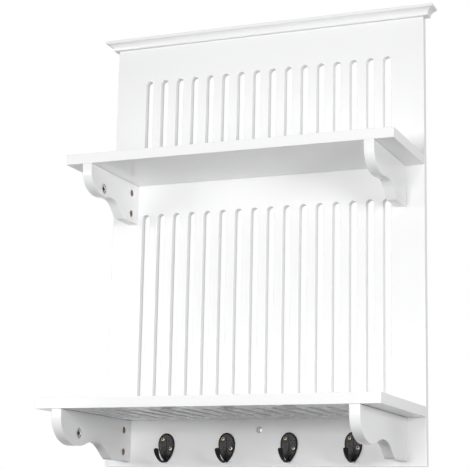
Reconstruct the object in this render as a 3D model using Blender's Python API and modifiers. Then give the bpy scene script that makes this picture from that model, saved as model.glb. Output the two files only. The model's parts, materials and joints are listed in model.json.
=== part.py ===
"""A white wall rack for plates: a slotted back panel, two bracketed shelves, a crown cap and a row of hooks.

Units are metres, +Z is up and the front faces -Y. The wall is the plane Y = 0. The origin lies on it,
midway between the two keyholes that the rack hangs from. Heights are measured from the panel's bottom edge.
"""
import math

import bmesh
import bpy

# Clearance between pieces that touch or that sit in one another, and the rounding of the boards' edges
FIT = 0.0003
EDGE_EASE = 0.0008

# Back panel and its two rows of slots, each with the space left under and over it
PANEL_WIDTH = 0.500
PANEL_HEIGHT = 0.657
PANEL_THICKNESS = 0.012
SLOT_COUNT = 16
SLOT_WIDTH = 0.0124
SLOT_SIDE_MARGIN = 0.050
SLOT_FOOT = 0.012
UPPER_SLOT_HEADROOM = 0.0554
LOWER_SLOT_HEADROOM = 0.0464

# What the rack hangs from: two keyholes in the back, and one countersunk screw hole under the lower shelf.
# Side margins run from the panel's side to the middle of the first or last piece of a row
KEYHOLE_COUNT = 2
KEYHOLE_SIDE_MARGIN = 0.100
KEYHOLE_BELOW_TOP = 0.025
KEYHOLE_DROP = 0.012
KEYHOLE_NECK = 0.0046
KEYHOLE_HEAD = 0.0090
KEYHOLE_LIP = 0.003
KEYHOLE_DEPTH = 0.007
WALL_HOLE_DROP = 0.0157
WALL_HOLE_DIAMETER = 0.0062
WALL_HOLE_SINK_DIAMETER = 0.0095
WALL_HOLE_SINK_DEPTH = 0.003

# Shelves, with the height of each underside, and the plate slots in the lower one
SHELF_THICKNESS = 0.015
UPPER_SHELF_HEIGHT = 0.432
UPPER_SHELF_DEPTH = 0.158
LOWER_SHELF_HEIGHT = 0.0685
LOWER_SHELF_DEPTH = 0.219
PLATE_SLOT_BACK = 0.037
PLATE_SLOT_FRONT = 0.036

# Crown cap
CROWN_HEIGHT = 0.014
CROWN_FILLET = 0.0045
CROWN_COVE_RUN = 0.0098
CROWN_END_OVERHANG = 0.0075
CROWN_FRONT_OVERHANG = 0.005

# Brackets: a rounded nose at the front, a swing up to a cove, and a flat toe against the panel
BRACKET_THICKNESS = 0.015
BRACKET_INSET = 0.0275
BRACKET_DROP = 0.061
NOSE_STRAIGHT = 0.012
UPPER_NOSE_RUN = 0.040
UPPER_NOSE_DROP = 0.041
UPPER_SWING_RUN = 0.030
UPPER_TOE = 0.0495
LOWER_NOSE_RUN = 0.050
LOWER_NOSE_DROP = 0.048
LOWER_SWING_RUN = 0.057
LOWER_TOE = 0.060
COVE_DROP = 0.0385
# Handles of the scroll's curves, as shares of the runs that they belong to
SWING_PULL = 0.45
COVE_PULL = 0.50
TOE_PULL = 0.35
TOE_LIFT = 0.40

# Cam fittings that draw each bracket up to its shelf: the wood left behind and under them, and their place
CAM_DIAMETER = 0.015
CAM_BACKING = 0.0025
CAM_COVER = 0.001
UPPER_CAM_BEHIND_NOSE = 0.001
LOWER_CAM_BEHIND_NOSE = 0.004
CAM_CROSS_LENGTH = 0.008
CAM_CROSS_WIDTH = 0.0024
CAM_CROSS_DEPTH = 0.003
CAM_BOLT_HEAD_DIAMETER = 0.0068
CAM_BOLT_HEAD_LENGTH = 0.004
CAM_BOLT_NECK_DIAMETER = 0.004
CAM_BOLT_NECK_LENGTH = 0.004
CAM_BOLT_SHANK_DIAMETER = 0.0052
CAM_BOLT_THREAD_DIAMETER = 0.006
CAM_BOLT_THREAD_LENGTH = 0.010

# Barrel nuts in the brackets, and the bolts that reach them through the panel
NUT_DIAMETER = 0.010
NUT_LENGTH = 0.010
NUT_SETBACK = 0.024
UPPER_NUT_DROP = 0.016
LOWER_NUT_RISE = 0.013
NUT_SLOT_WIDTH = 0.0012
NUT_SLOT_DEPTH = 0.001
BOLT_DIAMETER = 0.0056
BOLT_HEAD_DIAMETER = 0.012
BOLT_HEAD_THICKNESS = 0.0025
BOLT_PAST_NUT = 0.002
BOLT_SOCKET_DIAMETER = 0.0046
BOLT_SOCKET_DEPTH = 0.0015
BOLT_SOCKET_SIDES = 6

# Screws from the panel into each shelf's back edge, and dowels from the panel into the crown
SHELF_SCREW_COUNT = 3
SHELF_SCREW_SIDE_MARGIN = 0.070
SHELF_SCREW_DIAMETER = 0.0046
SHELF_SCREW_HEAD_DIAMETER = 0.009
SHELF_SCREW_HEAD_HEIGHT = 0.0024
SHELF_SCREW_LENGTH = 0.040
SHELF_SCREW_POINT = 0.004
HEAD_SINK = 0.0005
DOWEL_COUNT = 3
DOWEL_SIDE_MARGIN = 0.050
DOWEL_DIAMETER = 0.006
DOWEL_IN_PANEL = 0.013
DOWEL_IN_CROWN = 0.008

# Hooks: a leaf-shaped plate with a round head, drawn out at its point into a prong
HOOK_COUNT = 4
HOOK_LEFT_MARGIN = 0.1027
HOOK_RIGHT_MARGIN = 0.1057
HOOK_FOOT = 0.0035
HOOK_WIDTH = 0.026
HOOK_HEIGHT = 0.0455
HOOK_HEAD_RISE = 0.0165
HOOK_PLATE_THICKNESS = 0.003
HOOK_RIM = 0.0008
LEAF_FOOT_WIDTH = 0.003
LEAF_FOOT_RISE = 0.003
LEAF_FLARE_WIDTH = 0.0128
LEAF_FLARE_RISE = 0.0074
LEAF_PULL = 0.42
# The prong's belly and tip, how much it swells and spreads sideways there, and the pull of its curves
HOOK_REACH = 0.039
HOOK_TIP_RISE = 0.019
PRONG_THICKNESS = 0.0042
PRONG_ROOT_RISE = 0.0088
PRONG_BELLY_OUT = 0.0133
PRONG_BELLY_RISE = 0.0029
PRONG_TIP_SWELL = 1.20
PRONG_TIP_SPREAD = 1.70
PRONG_ROOT_PULL = 0.60
PRONG_SWEEP_PULL = 0.43
PRONG_TIP_PULL = 0.58
PRONG_TIP_LEAN = 0.22
# Two screws a hook, one below the other on either side of a line beside its middle
HOOK_SCREW_BELOW_TOP = 0.0089
HOOK_SCREW_PITCH = 0.014
HOOK_SCREW_OFFSET = 0.0062
HOOK_SCREW_SHIFT = 0.0012
HOOK_SCREW_DIAMETER = 0.0028
HOOK_SCREW_HEAD_DIAMETER = 0.0052
HOOK_SCREW_HEAD_HEIGHT = 0.0016
HOOK_SCREW_BITE = 0.008

# Facets round a piece that shows and one that is hidden, and on each curved stretch of an outline
SIDES_SHOWN = 16
SIDES_HIDDEN = 8
SLOT_STEPS = 3
SCROLL_STEPS = 7
HOOK_STEPS = 5
# Handle length of a quarter round, as a share of its radius, the angle that counts as an edge, and the
# distance within which loose points are welded
QUARTER = 0.5523
CREASE = math.radians(35)
WELD = 0.000002

# Turns that keep a piece as it is, lay its own axis along the front, or stand an outline up
UPRIGHT = (0.0, 0.0, 0.0)
FACING_FRONT = (math.pi / 2, 0.0, 0.0)
SIDE_ON = (math.pi / 2, 0.0, -math.pi / 2)

# Heights that follow from the sizes above
KEYHOLE_HEIGHT = PANEL_HEIGHT - KEYHOLE_BELOW_TOP
UPPER_SLOT_TOP = PANEL_HEIGHT - UPPER_SLOT_HEADROOM
LOWER_SLOT_TOP = UPPER_SHELF_HEIGHT - LOWER_SLOT_HEADROOM
WALL_HOLE_HEIGHT = LOWER_SHELF_HEIGHT - WALL_HOLE_DROP
NUT_DROPS = (UPPER_NUT_DROP, BRACKET_DROP - LOWER_NUT_RISE)

for old in list(bpy.data.objects):
    bpy.data.objects.remove(old, do_unlink=True)

PARTS = bpy.data.collections.new("plate_rack_with_shelf")
CUTTERS = bpy.data.collections.new("plate_rack_cutters")
for group in (PARTS, CUTTERS):
    bpy.context.scene.collection.children.link(group)

# Everything hangs on this empty, so that heights can be counted from the panel's bottom edge
FRAME = bpy.data.objects.new("rack_frame", None)
FRAME.location = (0.0, 0.0, -KEYHOLE_HEIGHT)
PARTS.objects.link(FRAME)


def material(name, colour, roughness, metallic=0.0):
    """A plain Principled material."""
    made = bpy.data.materials.new(name)
    made.use_nodes = True
    shader = made.node_tree.nodes["Principled BSDF"]
    shader.inputs["Base Color"].default_value = (*colour, 1.0)
    shader.inputs["Roughness"].default_value = roughness
    shader.inputs["Metallic"].default_value = metallic
    return made


WHITE_PAINT = material("white_paint", (0.86, 0.86, 0.85), 0.35)
BLACK_IRON = material("black_iron", (0.03, 0.03, 0.033), 0.5, 0.6)
BRASS = material("brass", (0.72, 0.55, 0.30), 0.35, 1.0)
ZINC = material("zinc", (0.50, 0.50, 0.49), 0.4, 1.0)
STEEL = material("steel", (0.56, 0.56, 0.57), 0.35, 1.0)
BEECH = material("beech", (0.62, 0.45, 0.29), 0.6)


def place(name, data, where, location, rotation, finish=None):
    """Link a new object under the rack's frame."""
    obj = bpy.data.objects.new(name, data)
    where.objects.link(obj)
    obj.parent = FRAME
    obj.location = location
    obj.rotation_euler = rotation
    if finish is not None:
        obj.data.materials.append(finish)
    return obj


def smooth(mesh):
    """Smooth shading that keeps the true edges sharp."""
    mesh.shade_smooth()
    mesh.set_sharp_from_angle(angle=CREASE)


def evaluated_mesh(obj):
    """The welded mesh of a helper object, which is then removed."""
    graph = bpy.context.evaluated_depsgraph_get()
    mesh = bpy.data.meshes.new_from_object(obj.evaluated_get(graph))
    bpy.data.objects.remove(obj, do_unlink=True)
    shape = bmesh.new()
    shape.from_mesh(mesh)
    bmesh.ops.remove_doubles(shape, verts=shape.verts, dist=WELD)
    bmesh.ops.recalc_face_normals(shape, faces=shape.faces)
    shape.to_mesh(mesh)
    shape.free()
    smooth(mesh)
    return mesh


def box_mesh(name, size):
    """A box of the given size, centred."""
    shape = bmesh.new()
    bmesh.ops.create_cube(shape, size=1.0)
    bmesh.ops.scale(shape, vec=size, verts=shape.verts)
    mesh = bpy.data.meshes.new(name)
    shape.to_mesh(mesh)
    shape.free()
    return mesh


def cylinder_mesh(name, radius, low, high, sides):
    """A cylinder about Z between two heights."""
    shape = bmesh.new()
    bmesh.ops.create_cone(shape, cap_ends=True, segments=sides, radius1=radius, radius2=radius,
                          depth=high - low)
    bmesh.ops.translate(shape, vec=(0.0, 0.0, (low + high) / 2), verts=shape.verts)
    mesh = bpy.data.meshes.new(name)
    shape.to_mesh(mesh)
    shape.free()
    smooth(mesh)
    return mesh


def turned_mesh(name, profile, sides):
    """A solid turned about Z from (radius, height) points, listed from the top down."""
    line = bpy.data.meshes.new(name)
    points = [(radius, 0.0, height) for radius, height in profile]
    line.from_pydata(points, [(i, i + 1) for i in range(len(points) - 1)], [])
    helper = bpy.data.objects.new(name, line)
    CUTTERS.objects.link(helper)
    turn = helper.modifiers.new("Turn", "SCREW")
    turn.steps = sides
    turn.render_steps = sides
    turn.use_merge_vertices = True
    turn.merge_threshold = WELD
    return evaluated_mesh(helper)


def outline_mesh(name, outlines, half_thickness, steps, rim=0.0):
    """Closed outlines, each a list of (point, handle in, handle out), filled flat and thickened.

    A missing handle makes that side of the point straight. A rim rounds the edges inside the outline.
    """
    curve = bpy.data.curves.new(name, "CURVE")
    curve.dimensions = "2D"
    curve.fill_mode = "BOTH"
    curve.extrude = half_thickness - rim
    curve.bevel_depth = rim
    curve.bevel_resolution = 1
    curve.offset = -rim
    curve.resolution_u = steps
    for outline in outlines:
        spline = curve.splines.new("BEZIER")
        spline.bezier_points.add(len(outline) - 1)
        spline.use_cyclic_u = True
        for knot, (point, handle_in, handle_out) in zip(spline.bezier_points, outline):
            knot.co = (*point, 0.0)
            knot.handle_left_type = "FREE" if handle_in else "VECTOR"
            knot.handle_right_type = "FREE" if handle_out else "VECTOR"
            if handle_in:
                knot.handle_left = (*handle_in, 0.0)
            if handle_out:
                knot.handle_right = (*handle_out, 0.0)
    helper = bpy.data.objects.new(name, curve)
    CUTTERS.objects.link(helper)
    return evaluated_mesh(helper)


def stadium(x, low, high, width):
    """An upright slot outline with round ends, from its lowest to its highest point."""
    half = width / 2
    reach = QUARTER * half
    bottom = low + half
    top = high - half
    return [
        ((x - half, bottom), None, (x - half, bottom - reach)),
        ((x, low), (x - reach, low), (x + reach, low)),
        ((x + half, bottom), (x + half, bottom - reach), None),
        ((x + half, top), None, (x + half, top + reach)),
        ((x, high), (x + reach, high), (x - reach, high)),
        ((x - half, top), (x - half, top + reach), None),
    ]


def cutter(owner, data, location, rotation=UPRIGHT):
    """A cutting shape in the owner's own group of cutters."""
    name = owner.name + "_cutters"
    group = bpy.data.collections.get(name)
    if group is None:
        group = bpy.data.collections.new(name)
        CUTTERS.children.link(group)
    tool = place(data.name, data, group, location, rotation)
    tool.hide_render = True
    tool.display_type = "WIRE"


def cut_everything():
    """Take each piece's group of cutters out of it."""
    for owner in PARTS.objects:
        group = bpy.data.collections.get(owner.name + "_cutters")
        if group is not None:
            cut = owner.modifiers.new("Cut", "BOOLEAN")
            cut.operation = "DIFFERENCE"
            cut.solver = "EXACT"
            cut.operand_type = "COLLECTION"
            cut.collection = group


def board(name, size, centre):
    """A painted board with eased edges."""
    obj = place(name, box_mesh(name, size), PARTS, centre, UPRIGHT, WHITE_PAINT)
    ease = obj.modifiers.new("Ease", "BEVEL")
    ease.width = EDGE_EASE
    ease.segments = 2
    return obj


def row_places(count, left_margin, right_margin):
    """Evenly spaced places across the rack, the outer ones at their margins from the panel's sides."""
    pitch = (PANEL_WIDTH - left_margin - right_margin) / (count - 1)
    return [left_margin - PANEL_WIDTH / 2 + pitch * i for i in range(count)]


def slot_places():
    """The middle of each slot across the rack."""
    margin = SLOT_SIDE_MARGIN + SLOT_WIDTH / 2
    return row_places(SLOT_COUNT, margin, margin)


class Tier:
    """One shelf with the sizes of its pair of brackets."""

    def __init__(self, name, height, depth, nose_run, nose_drop, swing_run, toe, cam_behind_nose, slot_top):
        self.name = name
        self.height = height
        self.depth = depth
        self.nose_run = nose_run
        self.nose_drop = nose_drop
        self.swing_run = swing_run
        self.toe = toe
        self.cam_out = depth - nose_run - cam_behind_nose
        self.cam_drop = min(nose_drop, COVE_DROP) - CAM_COVER - CAM_DIAMETER / 2
        self.slot_top = slot_top
        self.slot_foot = height + SHELF_THICKNESS + SLOT_FOOT
        self.middle = height + SHELF_THICKNESS / 2


UPPER = Tier("upper", UPPER_SHELF_HEIGHT, UPPER_SHELF_DEPTH, UPPER_NOSE_RUN, UPPER_NOSE_DROP,
             UPPER_SWING_RUN, UPPER_TOE, UPPER_CAM_BEHIND_NOSE, UPPER_SLOT_TOP)
LOWER = Tier("lower", LOWER_SHELF_HEIGHT, LOWER_SHELF_DEPTH, LOWER_NOSE_RUN, LOWER_NOSE_DROP,
             LOWER_SWING_RUN, LOWER_TOE, LOWER_CAM_BEHIND_NOSE, LOWER_SLOT_TOP)
TIERS = (UPPER, LOWER)
SIDES_OF_RACK = (("left", -1), ("right", 1))


def out_from_panel(distance):
    """The Y of a place in front of the panel."""
    return -PANEL_THICKNESS - distance


def make_panel():
    """The back panel with its slots, its keyholes and the low screw hole."""
    size = (PANEL_WIDTH, PANEL_THICKNESS, PANEL_HEIGHT)
    panel = board("back_panel", size, (0.0, -PANEL_THICKNESS / 2, PANEL_HEIGHT / 2))
    slots = [stadium(x, tier.slot_foot, tier.slot_top, SLOT_WIDTH) for tier in TIERS for x in slot_places()]
    openings = outline_mesh("panel_slots", slots, PANEL_THICKNESS, SLOT_STEPS)
    cutter(panel, openings, (0.0, -PANEL_THICKNESS / 2, 0.0), FACING_FRONT)
    cut_wall_hole(panel)
    for x in row_places(KEYHOLE_COUNT, KEYHOLE_SIDE_MARGIN, KEYHOLE_SIDE_MARGIN):
        cut_keyhole(panel, x)
    return panel


def cut_wall_hole(panel):
    """The low screw hole, countersunk from the front; its cone runs on past the panel's face."""
    bore = WALL_HOLE_DIAMETER / 2
    flare = WALL_HOLE_SINK_DIAMETER - bore
    high = PANEL_THICKNESS + WALL_HOLE_SINK_DEPTH
    low = PANEL_THICKNESS - WALL_HOLE_SINK_DEPTH
    profile = [(0.0, high), (flare, high), (bore, low), (bore, -low), (0.0, -low)]
    hole = turned_mesh("wall_hole", profile, SIDES_SHOWN)
    cutter(panel, hole, (0.0, 0.0, WALL_HOLE_HEIGHT), FACING_FRONT)


def cut_keyhole(panel, x):
    """A round entry, a narrow neck above it, and a wider channel behind the neck's lip."""
    entry = KEYHOLE_HEIGHT - KEYHOLE_DROP
    hole = cylinder_mesh("keyhole_entry", KEYHOLE_HEAD / 2, -KEYHOLE_DEPTH, KEYHOLE_DEPTH, SIDES_SHOWN)
    cutter(panel, hole, (x, 0.0, entry), FACING_FRONT)
    neck = stadium(x, entry, KEYHOLE_HEIGHT + KEYHOLE_NECK / 2, KEYHOLE_NECK)
    narrow = outline_mesh("keyhole_neck", [neck], KEYHOLE_LIP + FIT, SLOT_STEPS)
    cutter(panel, narrow, (0.0, 0.0, 0.0), FACING_FRONT)
    channel = stadium(x, entry - KEYHOLE_HEAD / 2, KEYHOLE_HEIGHT + KEYHOLE_HEAD / 2, KEYHOLE_HEAD)
    half = (KEYHOLE_DEPTH - KEYHOLE_LIP) / 2
    wide = outline_mesh("keyhole_channel", [channel], half, SLOT_STEPS)
    cutter(panel, wide, (0.0, -KEYHOLE_LIP - half, 0.0), FACING_FRONT)


def make_shelf(tier):
    """A shelf that butts against the panel."""
    size = (PANEL_WIDTH, tier.depth - FIT, SHELF_THICKNESS)
    middle = out_from_panel((tier.depth + FIT) / 2)
    return board(tier.name + "_shelf", size, (0.0, middle, tier.middle))


def cut_plate_slots(shelf, tier):
    """Slots in line with the panel's, which the plates' rims drop into."""
    back = -PANEL_THICKNESS - PLATE_SLOT_BACK
    front = -PANEL_THICKNESS - tier.depth + PLATE_SLOT_FRONT
    slots = [stadium(x, front, back, SLOT_WIDTH) for x in slot_places()]
    cutter(shelf, outline_mesh("plate_slots", slots, SHELF_THICKNESS, SLOT_STEPS), (0.0, 0.0, tier.middle))


def make_crown():
    """The cap: a board with a cove run round its front and both ends, flush with the panel's back."""
    cove_height = CROWN_HEIGHT - CROWN_FILLET
    levels = []
    for i in range(SCROLL_STEPS + 1):
        turn = math.pi / 2 * i / SCROLL_STEPS
        levels.append((cove_height * math.sin(turn), CROWN_COVE_RUN * (1 - math.cos(turn))))
    levels.append((CROWN_HEIGHT, CROWN_COVE_RUN))
    shape = bmesh.new()
    bmesh.ops.create_cube(shape, size=1.0)
    uprights = [edge for edge in shape.edges if edge.verts[0].co.z != edge.verts[1].co.z]
    bmesh.ops.subdivide_edges(shape, edges=uprights, cuts=len(levels) - 2, use_grid_fill=True)
    for vert in shape.verts:
        height, spread = levels[round((vert.co.z + 0.5) * (len(levels) - 1))]
        vert.co.x = math.copysign(PANEL_WIDTH / 2 + CROWN_END_OVERHANG + spread, vert.co.x)
        vert.co.y = 0.0 if vert.co.y > 0 else out_from_panel(CROWN_FRONT_OVERHANG + spread)
        vert.co.z = height
    bmesh.ops.recalc_face_normals(shape, faces=shape.faces)
    mesh = bpy.data.meshes.new("crown_cap")
    shape.to_mesh(mesh)
    shape.free()
    smooth(mesh)
    return place("crown_cap", mesh, PARTS, (0.0, 0.0, PANEL_HEIGHT + FIT), UPRIGHT, WHITE_PAINT)


def bracket_outline(tier):
    """The bracket seen from the side, as distance out from the panel and height under the shelf."""
    nose_end = tier.depth - tier.nose_run
    cove = nose_end - tier.swing_run
    nose_reach = QUARTER * tier.nose_run
    drop_reach = QUARTER * (tier.nose_drop - NOSE_STRAIGHT)
    swing_reach = tier.swing_run * SWING_PULL
    fall_run = cove - tier.toe
    fall = BRACKET_DROP - COVE_DROP
    toe_handle = (tier.toe + fall_run * TOE_PULL, fall * TOE_LIFT - BRACKET_DROP)
    return [
        ((FIT, -FIT), None, None),
        ((tier.depth, -FIT), None, None),
        ((tier.depth, -NOSE_STRAIGHT), None, (tier.depth, -NOSE_STRAIGHT - drop_reach)),
        ((nose_end, -tier.nose_drop), (nose_end + nose_reach, -tier.nose_drop),
         (nose_end - swing_reach, -tier.nose_drop)),
        ((cove, -COVE_DROP), (cove + swing_reach, -COVE_DROP), (cove - fall_run * COVE_PULL, -COVE_DROP)),
        ((tier.toe, -BRACKET_DROP), toe_handle, None),
        ((FIT, -BRACKET_DROP), None, None),
    ]


def bracket_middle(side):
    """The X of the middle of a bracket's thickness."""
    return side * (PANEL_WIDTH / 2 - BRACKET_INSET - BRACKET_THICKNESS / 2)


def make_bracket(tier, word, side):
    """One bracket with the holes that its fittings sit in, all bored from its inner face or its edges."""
    name = tier.name + "_" + word + "_bracket"
    mesh = outline_mesh(name, [bracket_outline(tier)], BRACKET_THICKNESS / 2, SCROLL_STEPS)
    x = bracket_middle(side)
    bracket = place(name, mesh, PARTS, (x, out_from_panel(0.0), tier.height), SIDE_ON, WHITE_PAINT)
    inner = x - side * BRACKET_THICKNESS / 2
    inward = (0.0, -side * math.pi / 2, 0.0)
    cam_y = out_from_panel(tier.cam_out)
    cam_z = tier.height - tier.cam_drop
    depth = BRACKET_THICKNESS - CAM_BACKING
    pocket = cylinder_mesh("cam_pocket", CAM_DIAMETER / 2, -depth - FIT, depth, SIDES_SHOWN)
    cutter(bracket, pocket, (inner, cam_y, cam_z), inward)
    bolt_hole = cylinder_mesh("cam_bolt_hole", CAM_BOLT_HEAD_DIAMETER / 2 + FIT, 0.0, 2 * tier.cam_drop,
                              SIDES_HIDDEN)
    cutter(bracket, bolt_hole, (x, cam_y, cam_z))
    nut_floor = BRACKET_THICKNESS / 2 + NUT_LENGTH / 2 + FIT
    for drop in NUT_DROPS:
        height = tier.height - drop
        nut_hole = cylinder_mesh("nut_hole", NUT_DIAMETER / 2, -nut_floor, nut_floor, SIDES_SHOWN)
        cutter(bracket, nut_hole, (inner, out_from_panel(NUT_SETBACK), height), inward)
        bolt_hole = cylinder_mesh("bolt_hole", BOLT_DIAMETER / 2 + FIT, 0.0, bolt_tip() + FIT, SIDES_HIDDEN)
        cutter(bracket, bolt_hole, (x, 0.0, height), FACING_FRONT)
    make_cam(tier, word, (inner, cam_y, cam_z), inward, x)
    for number, drop in enumerate(NUT_DROPS, start=1):
        make_nut_and_bolt(tier, word, number, (inner, x, tier.height - drop), inward)
    return bracket


def make_cam(tier, word, spot, inward, bolt_x):
    """The cam in the bracket's face, with a cross for the driver, and the bolt that it draws down."""
    radius = CAM_DIAMETER / 2 - FIT
    mesh = cylinder_mesh("cam", radius, CAM_BACKING - BRACKET_THICKNESS, -FIT, SIDES_SHOWN)
    cam = place(tier.name + "_" + word + "_cam_lock", mesh, PARTS, spot, inward, ZINC)
    for size in ((CAM_CROSS_LENGTH, CAM_CROSS_WIDTH), (CAM_CROSS_WIDTH, CAM_CROSS_LENGTH)):
        cutter(cam, box_mesh("cam_cross", (*size, 2 * CAM_CROSS_DEPTH)), spot, inward)
    head = CAM_BOLT_HEAD_DIAMETER / 2
    half = CAM_BOLT_HEAD_LENGTH / 2
    mouth = cylinder_mesh("cam_mouth", head + FIT, -half - FIT, CAM_DIAMETER, SIDES_HIDDEN)
    cutter(cam, mouth, (bolt_x, spot[1], spot[2]))
    neck = CAM_BOLT_NECK_DIAMETER / 2
    shank = CAM_BOLT_SHANK_DIAMETER / 2
    thread = CAM_BOLT_THREAD_DIAMETER / 2
    neck_top = half + CAM_BOLT_NECK_LENGTH
    collar = tier.cam_drop
    tip = collar + CAM_BOLT_THREAD_LENGTH
    profile = [(0.0, tip), (thread, tip), (thread, collar), (shank, collar), (shank, neck_top),
               (neck, neck_top), (neck, half), (head, half), (head, -half), (0.0, -half)]
    place(tier.name + "_" + word + "_cam_bolt", turned_mesh("cam_bolt", profile, SIDES_HIDDEN), PARTS,
          (bolt_x, spot[1], spot[2]), UPRIGHT, STEEL)


def bolt_tip():
    """How far the panel bolts reach from the wall."""
    return PANEL_THICKNESS + NUT_SETBACK + NUT_DIAMETER / 2 + BOLT_PAST_NUT


def make_nut_and_bolt(tier, word, number, spot, inward):
    """A barrel nut across the bracket, and the bolt from behind the panel that runs through it."""
    inner, middle, height = spot
    label = tier.name + "_" + word
    mesh = cylinder_mesh("barrel_nut", NUT_DIAMETER / 2 - FIT, -NUT_LENGTH / 2, NUT_LENGTH / 2, SIDES_SHOWN)
    y = out_from_panel(NUT_SETBACK)
    nut = place(label + "_barrel_nut_" + str(number), mesh, PARTS, (middle, y, height), inward, ZINC)
    bore = cylinder_mesh("nut_bore", BOLT_DIAMETER / 2 + FIT, -NUT_DIAMETER, NUT_DIAMETER, SIDES_HIDDEN)
    cutter(nut, bore, (middle, y, height), FACING_FRONT)
    face = middle + (inner - middle) * NUT_LENGTH / BRACKET_THICKNESS
    slot = box_mesh("nut_slot", (2 * NUT_DIAMETER, NUT_SLOT_WIDTH, 2 * NUT_SLOT_DEPTH))
    cutter(nut, slot, (face, y, height), inward)
    head_low = HEAD_SINK
    head_high = HEAD_SINK + BOLT_HEAD_THICKNESS
    head = BOLT_HEAD_DIAMETER / 2
    shank = BOLT_DIAMETER / 2
    profile = [(0.0, bolt_tip()), (shank, bolt_tip()), (shank, head_high), (head, head_high),
               (head, head_low), (0.0, head_low)]
    bolt = place(label + "_bolt_" + str(number), turned_mesh("panel_bolt", profile, SIDES_HIDDEN), PARTS,
                 (middle, 0.0, height), FACING_FRONT, STEEL)
    socket = cylinder_mesh("bolt_socket", BOLT_SOCKET_DIAMETER / 2, -head_high, head_low + BOLT_SOCKET_DEPTH,
                           BOLT_SOCKET_SIDES)
    cutter(bolt, socket, (middle, 0.0, height), FACING_FRONT)


def cut_bolt_holes(panel):
    """Clearance holes for the bracket bolts, counterbored so that the heads lie under the back face."""
    head = BOLT_HEAD_DIAMETER / 2 + FIT
    shank = BOLT_DIAMETER / 2 + FIT
    floor = HEAD_SINK + BOLT_HEAD_THICKNESS + FIT
    past = 2 * PANEL_THICKNESS
    profile = [(0.0, past), (shank, past), (shank, floor), (head, floor), (head, -floor), (0.0, -floor)]
    for tier in TIERS:
        for _, side in SIDES_OF_RACK:
            for drop in NUT_DROPS:
                hole = turned_mesh("counterbored_hole", profile, SIDES_HIDDEN)
                cutter(panel, hole, (bracket_middle(side), 0.0, tier.height - drop), FACING_FRONT)


def cut_cam_bolt_holes(shelf, tier):
    """Blind holes in the shelf's underside that the cam bolts screw into."""
    for _, side in SIDES_OF_RACK:
        hole = cylinder_mesh("cam_bolt_thread", CAM_BOLT_THREAD_DIAMETER / 2 + FIT, -CAM_BOLT_THREAD_LENGTH,
                             CAM_BOLT_THREAD_LENGTH + FIT, SIDES_HIDDEN)
        cutter(shelf, hole, (bracket_middle(side), out_from_panel(tier.cam_out), tier.height))


def make_shelf_screws(panel, shelf, tier):
    """Countersunk screws through the panel into the shelf's back edge."""
    head = SHELF_SCREW_HEAD_DIAMETER / 2
    shank = SHELF_SCREW_DIAMETER / 2
    neck = HEAD_SINK + SHELF_SCREW_HEAD_HEIGHT
    tip = SHELF_SCREW_LENGTH
    taper = tip - SHELF_SCREW_POINT
    screw = [(0.0, tip), (shank, taper), (shank, neck), (head, HEAD_SINK), (0.0, HEAD_SINK)]
    wide = shank + FIT
    rim = head + FIT
    past = 2 * PANEL_THICKNESS
    sunk = [(0.0, past), (wide, past), (wide, neck + FIT), (rim, HEAD_SINK), (rim, -neck), (0.0, -neck)]
    margin = SHELF_SCREW_SIDE_MARGIN
    for number, x in enumerate(row_places(SHELF_SCREW_COUNT, margin, margin), start=1):
        spot = (x, 0.0, tier.middle)
        name = tier.name + "_shelf_screw_" + str(number)
        place(name, turned_mesh("shelf_screw", screw, SIDES_HIDDEN), PARTS, spot, FACING_FRONT, STEEL)
        cutter(panel, turned_mesh("screw_sink", sunk, SIDES_HIDDEN), spot, FACING_FRONT)
        pilot = cylinder_mesh("screw_pilot", wide, 0.0, tip + FIT, SIDES_HIDDEN)
        cutter(shelf, pilot, spot, FACING_FRONT)


def make_crown_dowels(panel, crown):
    """Dowels that pin the crown to the panel's top edge."""
    radius = DOWEL_DIAMETER / 2
    for number, x in enumerate(row_places(DOWEL_COUNT, DOWEL_SIDE_MARGIN, DOWEL_SIDE_MARGIN), start=1):
        spot = (x, -PANEL_THICKNESS / 2, PANEL_HEIGHT)
        dowel = cylinder_mesh("dowel", radius, -DOWEL_IN_PANEL, DOWEL_IN_CROWN, SIDES_HIDDEN)
        place("crown_dowel_" + str(number), dowel, PARTS, spot, UPRIGHT, BEECH)
        for owner in (panel, crown):
            hole = cylinder_mesh("dowel_hole", radius + FIT, -DOWEL_IN_PANEL - FIT, DOWEL_IN_CROWN + FIT,
                                 SIDES_HIDDEN)
            cutter(owner, hole, spot)


def hook_plate_outline():
    """The leaf shape of a hook's plate: a round head that draws in to a point at the foot."""
    half = HOOK_WIDTH / 2
    shoulder = HOOK_HEIGHT - HOOK_HEAD_RISE
    across = QUARTER * half
    up = QUARTER * HOOK_HEAD_RISE
    down = shoulder * LEAF_PULL
    foot = LEAF_FOOT_WIDTH / 2
    flare = LEAF_FLARE_WIDTH / 2
    return [
        ((0.0, HOOK_HEIGHT), (across, HOOK_HEIGHT), (-across, HOOK_HEIGHT)),
        ((-half, shoulder), (-half, shoulder + up), (-half, shoulder - down)),
        ((-foot, LEAF_FOOT_RISE), (-flare, LEAF_FLARE_RISE), None),
        ((foot, LEAF_FOOT_RISE), None, (flare, LEAF_FLARE_RISE)),
        ((half, shoulder), (half, shoulder - down), (half, shoulder + up)),
    ]


def hook_screw_spots():
    """The two screws' places on a hook's plate, as distance across and height."""
    upper = HOOK_HEIGHT - HOOK_SCREW_BELOW_TOP
    lower = upper - HOOK_SCREW_PITCH
    return [(HOOK_SCREW_SHIFT - HOOK_SCREW_OFFSET, upper), (HOOK_SCREW_SHIFT + HOOK_SCREW_OFFSET, lower)]


def knob_radius():
    """The radius of the round end of a prong, seen from its side."""
    return PRONG_TIP_SWELL * PRONG_THICKNESS / 2


def prong_tip():
    """The middle of that end, as height and distance out from the hook's back."""
    return (HOOK_TIP_RISE, HOOK_REACH - knob_radius())


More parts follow.
